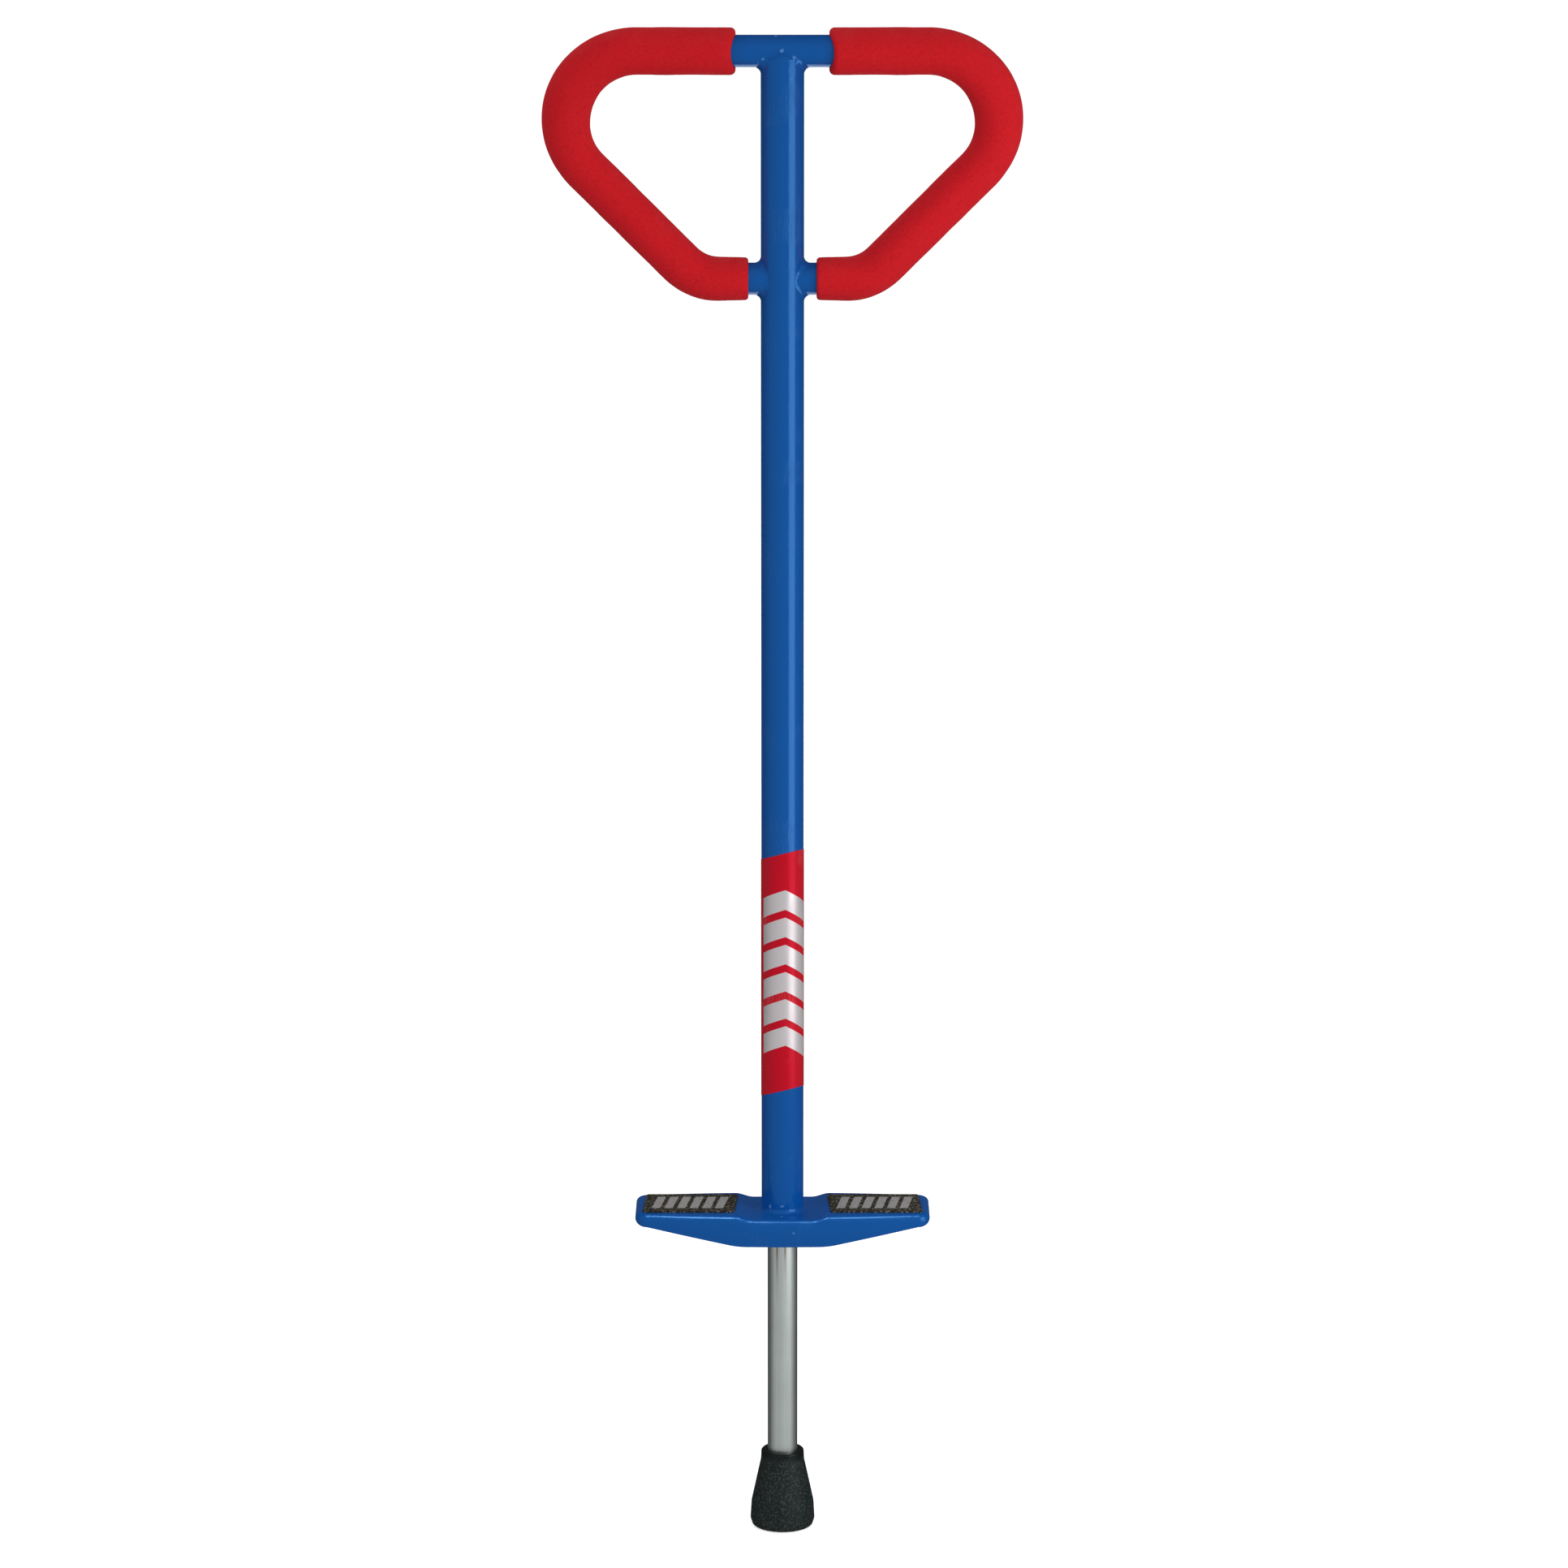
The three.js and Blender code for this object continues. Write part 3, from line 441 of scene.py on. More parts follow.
# %% Red foam
FOAM_RED = (0.67, 0.0132, 0.021, 1)
PIT_RED = (0.38, 0.008, 0.012, 1)
DUSTY_RED = (0.6, 0.2, 0.2, 1)
FOAM_SHEEN = (1.0, 0.25, 0.25, 1)
PORE_DEPTH = 0.00022
red_foam, tree, shader, place = new_finish("red_sleeve_foam", Specular_IOR_Level=0.25)
shader.inputs["Specular Tint"].default_value = FOAM_SHEEN
tone = use(tree, uneven, {"Place": place, "Scale": 26.0, "Spread": 0.07})["Tone"]
cell = use(tree, pores, {"Place": place, "Scale": 1150.0, "Softness": 0.55})
dusty = use(tree, dust, {"Place": place, "Amount": 0.1})["Mask"]
colour = tinted(tree, FOAM_RED, tone)
colour = mixed(tree, times(tree, cell["Pit"], 0.25), colour, PIT_RED)
colour = mixed(tree, dusty, colour, DUSTY_RED)
matt = ramp(tree, cell["Height"], 0.2, 0.7, 0.86, 0.7)
dress(tree, shader, colour, matt, cell["Height"], PORE_DEPTH)
print(red_foam.name, len(tree.nodes), "nodes")

# %% Black rubber
RUBBER = (0.008, 0.0135, 0.013, 1)
RUBBER_SPECK = (0.034, 0.05, 0.047, 1)
RUBBER_DUST = (0.2, 0.19, 0.17, 1)
LIP_BLACK = (0.004, 0.0055, 0.006, 1)
LIP_FROM, LIP_FULL = 0.007, 0.002  # below the mouth
black_rubber, tree, shader, place = new_finish("black_moulded_rubber", Specular_IOR_Level=0.25)
tone = use(tree, uneven, {"Place": place, "Scale": 60.0, "Spread": 0.3})["Tone"]
grain = use(tree, pores, {"Place": place, "Scale": 800.0, "Softness": 0.75})
dusty = use(tree, dust, {"Place": place, "Amount": 0.18})["Mask"]
colour = tinted(tree, RUBBER, tone)
speck = ramp(tree, noise_at(tree, place, 780, 2.0), 0.5, 0.62)
colour = mixed(tree, speck, colour, RUBBER_SPECK)
colour = mixed(tree, dusty, colour, RUBBER_DUST)
matt = ramp(tree, noise_at(tree, place, 300, 3.0), *CLOUD, 0.42, 0.62)
mouth_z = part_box("rubber_tip")[1].z
lip = ramp(tree, apart(tree, place)["Z"], mouth_z - LIP_FROM, mouth_z - LIP_FULL)
colour = mixed(tree, times(tree, lip, 0.8), colour, LIP_BLACK)
matt = sums(tree, "SUBTRACT", matt, times(tree, lip, 0.26), clamp=True)
smoothed = sums(tree, "SUBTRACT", 1.0, times(tree, lip, 0.85))
dress(tree, shader, colour, matt, times(tree, grain["Height"], smoothed), PORE_DEPTH)
print(black_rubber.name, len(tree.nodes), "nodes")

# %% Steels
def steel(name, colour, rough_low, rough_high, lines, length):
    """A drawn or plated steel: fine lines along the piece, and a slow drift of tone."""
    material, tree, shader, place = new_finish(name, Metallic=1.0)
    grain = use(tree, drawn, {"Place": place, "Lines": lines, "Length": length})
    tone = use(tree, uneven, {"Place": place, "Scale": 30.0, "Spread": 0.14})["Tone"]
    tone = times(tree, tone, ramp(tree, grain["Tone"], *CLOUD, 0.88, 1.06))
    roughness = ramp(tree, grain["Tone"], *CLOUD, rough_low, rough_high)
    return material, tree, shader, place, tinted(tree, colour, tone), roughness, grain["Height"]


SHAFT_GREY = (0.76, 0.83, 0.81, 1)
ZINC_GREY = (0.62, 0.64, 0.63, 1)
SPRING_GREY = (0.17, 0.175, 0.18, 1)
STAIN_BROWN = (0.24, 0.1, 0.025, 1)
STAIN_WIDTH = (0.0004, 0.0014)
shaft_steel, tree, shader, place, colour, roughness, height = steel(
    "shaft_drawn_steel", SHAFT_GREY, 0.34, 0.46, lines=1400.0, length=9.0)
tube_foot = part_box("main_tube")[0].z
shaft_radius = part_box("shaft_tube")[1].x
around = apart(tree, place)
streaks = []
for across, reach in ((-0.36, 0.052), (0.17, 0.034)):
    edge = sums(tree, "ABSOLUTE", sums(tree, "SUBTRACT", around["X"], across * shaft_radius))
    wavy = times(tree, noise_at(tree, place, 160, 3.0), 0.0007)
    line = ramp(tree, sums(tree, "ADD", edge, wavy), *STAIN_WIDTH, 1.0, 0.0)
    fade = ramp(tree, around["Z"], tube_foot - reach, tube_foot - 0.004)
    front = ramp(tree, around["Y"], -0.004, 0.0, 1.0, 0.0)
    streaks.append(times(tree, line, fade, front))
stain = times(tree, highest(tree, streaks), 0.75)
colour = mixed(tree, stain, colour, STAIN_BROWN)
roughness = sums(tree, "ADD", roughness, times(tree, stain, 0.3), clamp=True)
tree.links.new(sums(tree, "SUBTRACT", 1.0, times(tree, stain, 0.8)), shader.inputs["Metallic"])
dress(tree, shader, colour, roughness, height, 0.00002)
print(shaft_steel.name, len(tree.nodes), "nodes")

zinc_steel, tree, shader, place, colour, roughness, height = steel(
    "zinc_plated_steel", ZINC_GREY, 0.28, 0.4, lines=700.0, length=700.0)
dress(tree, shader, colour, roughness, height, 0.00003)
spring_steel, tree, shader, place, colour, roughness, height = steel(
    "oiled_spring_steel", SPRING_GREY, 0.3, 0.48, lines=500.0, length=500.0)
dress(tree, shader, colour, roughness, height, 0.00003)
print(zinc_steel.name, spring_steel.name)

# %% White nylon
NYLON_WHITE = (0.72, 0.71, 0.66, 1)
nylon, tree, shader, place = new_finish("white_nylon")
tone = use(tree, uneven, {"Place": place, "Scale": 45.0, "Spread": 0.06})["Tone"]
grain = use(tree, pores, {"Place": place, "Scale": 1600.0, "Softness": 0.9})
matt = ramp(tree, noise_at(tree, place, 240, 3.0), *CLOUD, 0.4, 0.55)
dress(tree, shader, tinted(tree, NYLON_WHITE, tone), matt, grain["Height"], 0.00004)
print(nylon.name, len(tree.nodes), "nodes")

# %% [markdown]
# The foot pads are anti-slip tape: sharp grains set in black resin, with a pale print. The print is
# six slanted bars. They are drawn with arithmetic on the position: a slanted stripe is a saw-tooth
# of x plus a share of y.

# %% Grit tape
RESIN_BLACK = (0.0265, 0.0235, 0.018, 1)
FLECK_BROWN = (0.17, 0.15, 0.115, 1)
PRINT_GREY = (0.3, 0.29, 0.285, 1)
pad_low, pad_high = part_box("foot_pad_right")
grit_tape, tree, shader, place = new_finish("grit_resin_tape", Specular_IOR_Level=0.12)
grain = use(tree, pores, {"Place": place, "Scale": 1500.0, "Softness": 0.45})
tone = use(tree, uneven, {"Place": place, "Scale": 55.0, "Spread": 0.25})["Tone"]
colour = tinted(tree, RESIN_BLACK, tone)
flecks = ramp(tree, noise_at(tree, place, 620, 2.0), 0.52, 0.66)
colour = mixed(tree, flecks, colour, FLECK_BROWN)
parts = apart(tree, place)
pad_x = (pad_low.x + pad_high.x) / 2
BAR_PITCH = 0.0084
BAR_LEAN = 0.15
BAR_COUNT = 6
BARS_REACH = BAR_PITCH * BAR_COUNT / 2
BARS_HALF = (0.0124, 0.0127)  # half the length of the bars, and where their soft end stops
PRINT_EDGE = 0.0002
middle_x = times(tree, sums(tree, "SIGN", parts["X"]), pad_x)
along = sums(tree, "SUBTRACT", parts["X"], middle_x)
along = sums(tree, "SUBTRACT", along, times(tree, parts["Y"], BAR_LEAN))
saw = sums(tree, "PINGPONG", along, BAR_PITCH / 2)
bars = ramp(tree, saw, BAR_PITCH * 0.15, BAR_PITCH * 0.19)
inside = ramp(tree, sums(tree, "ABSOLUTE", along), BARS_REACH, BARS_REACH + PRINT_EDGE, 1.0, 0.0)
band = ramp(tree, sums(tree, "ABSOLUTE", parts["Y"]), *BARS_HALF, 1.0, 0.0)
printed = times(tree, bars, inside, band)
worn = ramp(tree, noise_at(tree, place, 700, 3.0), 0.3, 0.44, 0.35, 1.0)
colour = mixed(tree, times(tree, printed, worn), colour, PRINT_GREY)
matt = ramp(tree, flecks, 0.0, 1.0, 0.92, 0.6)
dress(tree, shader, colour, matt, grain["Height"], 0.00035)
print(grit_tape.name, len(tree.nodes), "nodes")

# %% [markdown]
# The wrap on the tube is red vinyl with a column of silver chevrons. The angle round the tube and the
# height are the two directions of the print. A chevron is a stripe of the height plus a share of the
# distance from the middle.

# %% Red vinyl
VINYL_RED = (0.585, 0.008, 0.021, 1)
SILVER = (0.74, 0.73, 0.75, 1)
decal_low, decal_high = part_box("tube_decal")
DECAL_SLANT = 0.007 / 0.028  # rise of the wrap's edges for each metre across
# The edges also fall to the back, so that they look straight to a camera that is a little above.
DECAL_TIP = math.tan(CAMERA_RISE)
PRINT_SLANT = -0.09
CHEVRON_PITCH = 0.0186
CHEVRON_COUNT = 6
CHEVRON_RISE = 0.0058  # for each radian round the tube
PRINT_MIDDLE = 0.14  # radians, to the right of the front
PRINT_HALF_WIDTH = 1.2
PRINT_DROP = 0.0035
VINYL_SHEEN = (1.0, 0.04, 0.1, 1)
SCRATCH_PINK = (0.8, 0.6, 0.6, 1)
red_vinyl, tree, shader, place = new_finish("red_vinyl_wrap", Specular_IOR_Level=0.9)
shader.inputs["Specular Tint"].default_value = VINYL_SHEEN
parts = apart(tree, place)
turn = sums(tree, "ARCTAN2", parts["X"], times(tree, parts["Y"], -1.0))
off = sums(tree, "ABSOLUTE", sums(tree, "SUBTRACT", turn, PRINT_MIDDLE))
height = sums(tree, "SUBTRACT", parts["Z"], times(tree, parts["X"], PRINT_SLANT))
height = sums(tree, "ADD", height, times(tree, parts["Y"], DECAL_TIP))
middle_z = (decal_low.z + decal_high.z) / 2
from_middle = sums(tree, "SUBTRACT", height, middle_z - PRINT_DROP)
peak = sums(tree, "ADD", from_middle, times(tree, sums(tree, "SUBTRACT", off, 0.6), CHEVRON_RISE))
saw = sums(tree, "PINGPONG", peak, CHEVRON_PITCH / 2)
stripes = ramp(tree, saw, CHEVRON_PITCH * 0.135, CHEVRON_PITCH * 0.15)
reach = CHEVRON_PITCH * CHEVRON_COUNT / 2
rows = ramp(tree, sums(tree, "ABSOLUTE", peak), reach, reach + PRINT_EDGE, 1.0, 0.0)
columns = ramp(tree, off, PRINT_HALF_WIDTH, PRINT_HALF_WIDTH + 0.02, 1.0, 0.0)
printed = times(tree, stripes, rows, columns)
tone = use(tree, uneven, {"Place": place, "Scale": 24.0, "Spread": 0.06})["Tone"]
scratch = use(tree, hairlines, {"Place": place, "Fineness": 1.3})["Mask"]
colour = mixed(tree, printed, tinted(tree, VINYL_RED, tone), tinted(tree, SILVER, tone))
colour = mixed(tree, times(tree, scratch, 0.18), colour, SCRATCH_PINK)
gloss = ramp(tree, noise_at(tree, place, 60, 4.0), *CLOUD, 0.2, 0.3)
gloss = sums(tree, "ADD", gloss, times(tree, printed, 0.12), clamp=True)
tree.links.new(times(tree, printed, 0.45), shader.inputs["Metallic"])
film = sums(tree, "ADD", noise_at(tree, place, 300, 2.0), times(tree, printed, 0.5))
dress(tree, shader, colour, gloss, film, 0.00004)
print(red_vinyl.name, len(tree.nodes), "nodes")

# %% [markdown]
# ## The bench
# An operator acts on whatever is selected, so each step starts by selecting exactly what it needs. A
# finished piece is measured: its triangles, its open edges (there should be none) and its volume,
# which is positive when all its faces look outwards.

# %% Bench helpers
def clear():
    """Object mode, with nothing selected."""
    if bpy.context.object and bpy.context.object.mode != "OBJECT":
        bpy.ops.object.mode_set(mode="OBJECT")
    bpy.ops.object.select_all(action="DESELECT")


def only(piece):
    """Selects one piece and makes it the active one."""
    clear()
    piece.select_set(True)
    bpy.context.view_layer.objects.active = piece


def settle(piece):
    """Puts a piece's place, turn and scale into its mesh."""
    only(piece)
    bpy.ops.object.transform_apply(location=True, rotation=True, scale=True)


def choose(piece, kind, test):
    """Opens a piece in edit mode with just the parts selected whose middle passes the test."""
    only(piece)
    bpy.ops.object.mode_set(mode="EDIT")
    bpy.ops.mesh.select_mode(type=kind)
    bpy.ops.mesh.select_all(action="DESELECT")
    shape = bmesh.from_edit_mesh(piece.data)
    parts = {"VERT": shape.verts, "EDGE": shape.edges, "FACE": shape.faces}[kind]
    for part in parts:
        corners = [part.co] if kind == "VERT" else [corner.co for corner in part.verts]
        part.select_set(bool(test(sum(corners, Vector()) / len(corners), corners)))
    shape.select_flush_mode()
    bmesh.update_edit_mesh(piece.data)


def whole(piece):
    """Opens a piece in edit mode with everything selected."""
    only(piece)
    bpy.ops.object.mode_set(mode="EDIT")
    bpy.ops.mesh.select_mode(type="VERT")
    bpy.ops.mesh.select_all(action="SELECT")


def close():
    """Leaves edit mode."""
    bpy.ops.object.mode_set(mode="OBJECT")


def face_out(piece):
    """Turns all of a closed piece's faces outwards."""
    whole(piece)
    bpy.ops.mesh.normals_make_consistent(inside=False)
    close()


def round_edges(piece, test, radius, steps, **settings):
    """Bevels the edges that pass the test."""
    choose(piece, "EDGE", test)
    bpy.ops.mesh.bevel(offset=radius, segments=steps, affect="EDGES", **settings)
    close()


def apply(piece, kind, **settings):
    """Adds a modifier, sets it and applies it."""
    only(piece)
    step = piece.modifiers.new(kind.lower(), kind)
    for key, value in settings.items():
        setattr(step, key, value)
    bpy.ops.object.modifier_apply(modifier=step.name)


def cut(piece, tool):
    """Cuts a tool's shape out of a piece, and throws the tool away."""
    apply(piece, "BOOLEAN", operation="DIFFERENCE", solver="EXACT", object=tool)
    bpy.data.objects.remove(tool)


def rod(radius, start, end, sides=64):
    """A round bar between two points, as a cutting tool."""
    clear()
    way = Vector(end) - Vector(start)
    bpy.ops.mesh.primitive_cylinder_add(vertices=sides, radius=radius, depth=way.length,
                                        location=(Vector(start) + Vector(end)) / 2)
    tool = bpy.context.object
    tool.rotation_euler = way.to_track_quat("Z", "Y").to_euler()
    settle(tool)
    return tool


def slab(size, middle):
    """A plain block of the given size round a point."""
    clear()
    bpy.ops.mesh.primitive_cube_add(size=1, location=middle)
    piece = bpy.context.object
    piece.scale = size
    settle(piece)
    return piece


DRILL_REACH = 0.03  # past both sides of the stick


def drill(piece, radius, height, sides=32):
    """Makes a round hole from side to side at a height."""
    cut(piece, rod(radius, (-DRILL_REACH, 0, height), (DRILL_REACH, 0, height), sides))


def lay_across(piece, height):
    """Lays a piece that stands on its end on its side, across the stick, at a height."""
    turn = Matrix.Rotation(math.pi / 2, 4, "Y")
    piece.matrix_world = Matrix.Translation((0, 0, height)) @ turn


def lying(node):
    """The height and radius of a round bar that lies across the stick."""
    low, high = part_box(node)
    return (low.z + high.z) / 2, (high.z - low.z) / 2


def finish(piece, name, body, stands_for, material, smooth=35):
    """Names, dresses and measures a finished piece, and sets it on its body."""
    settle(piece)
    piece.name = piece.data.name = name
    bpy.ops.object.shade_smooth_by_angle(angle=math.radians(smooth))
    piece.data.materials.clear()
    piece.data.materials.append(material)
    shape = bmesh.new()
    shape.from_mesh(piece.data)
    volume = shape.calc_volume(signed=True)
    loose = sum(not edge.is_manifold for edge in shape.edges)
    triangles = sum(len(face.verts) - 2 for face in shape.faces)
    shape.free()
    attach(piece, body)
    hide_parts(stands_for)
    print(f"{name}: {triangles} triangles, {loose} open edges, {volume * 1e6:.2f} cm3")
    return piece


print("bench ready")

# %% [markdown]
# Most parts of a pogo stick are round. A turned part is its outline, spun once round the axis. The
# outline is given as corners, each with a radius, a height and how much it is rounded. A circle with
# as many points as the outline is laid on it, and Spin does the rest.

# %% Turned parts
MERGE = 0.000002  # points closer than this are one


def rounded(corners, steps=5):
    """An outline's points, with each corner turned into an arc of the given radius."""
    points = []
    count = len(corners)
    for i, (r, z, bend) in enumerate(corners):
        here = Vector((r, z))
        if not bend:
            points.append(here)
            continue
        before = (Vector(corners[i - 1][:2]) - here).normalized()
        after = (Vector(corners[(i + 1) % count][:2]) - here).normalized()
        half = before.angle(after) / 2
        reach = bend / math.tan(half)
        centre = here + (before + after).normalized() * (bend / math.sin(half))
        start, end = here + before * reach - centre, here + after * reach - centre
        sweep = start.angle_signed(end)
        for step in range(steps + 1):
            angle = -sweep * step / steps
            points.append(centre + Matrix.Rotation(angle, 2) @ start)
    return points


def collar(inner, outer, low, high, bends):
    """The outline of a ring, or of a rod where inner is 0, with its four roundings."""
    places = ((inner, low), (outer, low), (outer, high), (inner, high))
    return [(r, z, bend) for (r, z), bend in zip(places, bends)]


def turned(corners, sides=96):
    """A closed outline of (radius, height, rounding) corners, spun round the Z axis."""
    points = rounded(corners)
    clear()
    bpy.ops.mesh.primitive_circle_add(vertices=len(points), radius=1)
    piece = bpy.context.object
    for vertex, point in zip(piece.data.vertices, points):
        vertex.co = (point.x, 0, point.y)
    whole(piece)
    bpy.ops.mesh.spin(steps=sides, angle=2 * math.pi, center=(0, 0, 0), axis=(0, 0, 1))
    bpy.ops.mesh.select_all(action="SELECT")
    bpy.ops.mesh.remove_doubles(threshold=MERGE)
    bpy.ops.mesh.dissolve_degenerate(threshold=0.000001)
    bpy.ops.mesh.delete_loose(use_verts=True, use_edges=True, use_faces=False)
    face_out(piece)
    return piece


print("turning ready")

# %% [markdown]
# Bent and hollowed shapes start as a flat grid. Each point of the grid is moved to its place by a
# formula: the column says how far round, the row how far along.

# %% Formed parts
def formed(columns, rows, place, close_ends=False):
    """A flat grid, each point of which is moved to place(share of the way round, row)."""
    clear()
    bpy.ops.mesh.primitive_grid_add(x_subdivisions=columns, y_subdivisions=rows - 1, size=1)
    piece = bpy.context.object
    for vertex in piece.data.vertices:
        row, column = divmod(vertex.index, columns + 1)
        vertex.co = place(column / columns, row)
    whole(piece)
    bpy.ops.mesh.remove_doubles(threshold=0.000001)
    if close_ends:
        bpy.ops.mesh.fill_holes(sides=0)
    face_out(piece)
    return piece


def facing(piece, test):
    """Turns the faces round if, taken together, they look the wrong way."""
    if sum(test(face.center, face.normal) * face.area for face in piece.data.polygons) < 0:
        whole(piece)
        bpy.ops.mesh.flip_normals()
        close()


def mirror_copy(piece):
    """A copy for the other side, with its own mesh."""
    copy = piece.copy()
    copy.data = piece.data.copy()
    bpy.context.scene.collection.objects.link(copy)
    copy.scale.x = -1
    settle(copy)
    face_out(copy)
    return copy


print("forming ready")

# %% [markdown]
# ## Main tube
# A straight steel tube holds the spring. Its top is notched to sit under the handlebar, and two small
# cross holes take the spring's stop pin and the bush screws. It is turned from a four-cornered
# outline, and then the notch and the holes are cut with round bars.

# %% Main tube
tube_low, tube_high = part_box("main_tube")
bar_low, bar_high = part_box("handle_tube")
TUBE_R = tube_high.x
TUBE_WALL = 0.0015
BAR_R = bar_high.y
BAR_Z = bar_high.z - BAR_R
STUB_Z = bar_low.z + BAR_R
STOP_Z, STOP_R = lying("spring_stop_pin")
SCREW_Z = lying("bush_screw_right")[0]
SCREW_HOLE_R = 0.00185
HOLE_PLAY = 0.0001
NOTCH_PLAY = 0.0002
TUBE_NECK = 0.0032  # the tube's front and back end this far below the middle of the bar

tube_top = BAR_Z - TUBE_NECK
tube_outline = collar(TUBE_R - TUBE_WALL, TUBE_R, tube_low.z, tube_top, (0, 0.0005, 0.0006, 0))
tube = turned(tube_outline, sides=128)
drill(tube, BAR_R + NOTCH_PLAY, BAR_Z, 96)
drill(tube, STOP_R + HOLE_PLAY, STOP_Z, 48)
drill(tube, SCREW_HOLE_R, SCREW_Z)
finish(tube, "long_tube", "frame", "main_tube", blue_paint)

# %% [markdown]
# ## Handle loop
# One bent tube makes the crossbar and both side loops. Half of it is made as a bender does it: a ring
# is drawn out along the bar, swung round the big bend, drawn down the leg, swung round the small bend
# and drawn in to the main tube. A mirror adds the other half, and a wall is given inwards.

# %% Handle loop
LOOP_BEND_X = 0.094
LOOP_RADIUS = 0.045
STUB_BEND_X = 0.0408
STUB_RADIUS = 0.035
BAR_WALL = 0.0015
upper = Vector((LOOP_BEND_X, 0, BAR_Z - LOOP_RADIUS))
lower = Vector((STUB_BEND_X, 0, STUB_Z + STUB_RADIUS))
between = lower - upper
# The leg touches both bends, so it is turned from the line between their middles by their difference.
lean = math.atan2(between.z, between.x) - math.asin((LOOP_RADIUS - STUB_RADIUS) / between.length)
LEG_TURN = -lean
leg_start = upper + Vector((math.sin(LEG_TURN), 0, math.cos(LEG_TURN))) * LOOP_RADIUS
leg_end = lower + Vector((math.sin(LEG_TURN), 0, math.cos(LEG_TURN))) * STUB_RADIUS
leg_length = (leg_end - leg_start).length
print("the big bend turns", round(math.degrees(LEG_TURN), 1), "degrees; leg", round(leg_length, 4))


def draw_out(way):
    """Extrudes the selected ring of edges."""
    bpy.ops.mesh.extrude_region_move(TRANSFORM_OT_translate={"value": tuple(way)})


def swing(middle, turn, steps):
    """Spins the selected ring about a point, like a tube round a bending die."""
    bpy.ops.mesh.spin(steps=steps, angle=-turn, center=tuple(middle), axis=(0, 1, 0))


clear()
bpy.ops.mesh.primitive_circle_add(vertices=64, radius=BAR_R, location=(0, 0, BAR_Z),
                                  rotation=(0, math.pi / 2, 0))
bar = bpy.context.object
settle(bar)
whole(bar)
draw_out((LOOP_BEND_X, 0, 0))
swing(upper, LEG_TURN, 30)
draw_out(leg_end - leg_start)
swing(lower, math.pi - LEG_TURN, 12)
draw_out((-STUB_BEND_X, 0, 0))
bpy.ops.mesh.select_all(action="SELECT")
bpy.ops.mesh.remove_doubles(threshold=MERGE)
close()
points = [v.co for v in bar.data.vertices]
print("loop reaches x", round(max(c.x for c in points), 4), "z", round(min(c.z for c in points), 4))
STUB_END_X = 0.004
SADDLE_PLAY = 0.00005
for point in points:  # the stub's end stops short of the middle, or the mirror would join the two
    if point.x < 0.001 and point.z < BAR_Z - LOOP_RADIUS:
        point.x = STUB_END_X
apply(bar, "MIRROR", use_axis=(True, False, False), use_clip=True, merge_threshold=0.00001)
face_out(bar)
apply(bar, "SOLIDIFY", thickness=BAR_WALL, offset=-1, use_rim=True)
cut(bar, rod(TUBE_R + SADDLE_PLAY, (0, 0, STUB_Z - DRILL_REACH), (0, 0, STUB_Z + DRILL_REACH), 128))
finish(bar, "handle_loop", "frame", "handle_tube", blue_paint)

# %% [markdown]
# ## Welds
# The tubes are welded and then painted, so each joint shows as a soft hollow fillet. A fillet leaves
# one tube along its length and runs out over the other. Each slice of it is a curve that starts along
# the first tube and ends along the second, and the slices go once round the joint. A little noise
# keeps it hand-made.

# %% Weld helper
FILLET = 0.0043
FILLET_STEPS = 12
FILLET_SIDES = 144
FILLET_SHELL = 0.0006
FILLET_PULL = 0.38
HAND_SCALE, HAND_SWELL = 460, 0.00026  # the unevenness of a weld made by hand


def slice_at(start, start_way, end, end_way, share):
    """A point on the smooth curve between two points that leaves and arrives in the given ways."""
    pull = (end - start).length * FILLET_PULL
    a, b = start + start_way * pull, end - end_way * pull
    left = 1 - share
    near_start = start * left ** 3 + a * (3 * left * left * share)
    return near_start + b * (3 * left * share * share) + end * share ** 3


def weld(edge_at, middle):
    """A ring of fillet; edge_at(angle) gives its two edges and the ways that the curve follows."""
    def place(share, row):
        start, start_way, end, end_way = edge_at(2 * math.pi * share)
        along = row / FILLET_STEPS
        point = slice_at(start, start_way.normalized(), end, end_way.normalized(), along)
        swell = noise.noise(point * HAND_SCALE) * HAND_SWELL * math.sin(math.pi * along)
        return point + (point - middle).normalized() * swell
    piece = formed(FILLET_SIDES, FILLET_STEPS + 1, place)
    facing(piece, lambda centre, normal: (centre - middle).dot(normal))
    apply(piece, "SOLIDIFY", thickness=FILLET_SHELL, offset=-1, use_rim=True)
    return piece


print("weld helper ready")

# %% Crossbar weld
NECK_LOW = BAR_Z - (BAR_R + FILLET) + 0.0003
NECK_RISE = (tube_top - 0.0006) - NECK_LOW
OVER = math.radians(106)  # the fillet's edge climbs this far round the bar at the front and back


def crossbar_edges(angle):
    """From the main tube's wall up to the underside and the front and back of the bar."""
    out, side = math.cos(angle), math.sin(angle)
    start = Vector((TUBE_R * out, TUBE_R * side, NECK_LOW + NECK_RISE * side * side))
    climb = OVER * abs(side) ** 1.4
    y = math.copysign(BAR_R * math.sin(climb), side)
    end = Vector(((TUBE_R + FILLET) * out, y, BAR_Z - BAR_R * math.cos(climb)))
    round_bar = Vector((0, math.copysign(math.cos(climb), side), math.sin(climb)))
    return start, Vector((0, 0, 1)), end, Vector((out, 0, 0)) + round_bar * abs(side)


top_fillet = weld(crossbar_edges, Vector((0, 0, BAR_Z - 0.004)))
finish(top_fillet, "crossbar_fillet", "frame", "crossbar_weld", blue_paint, smooth=50)

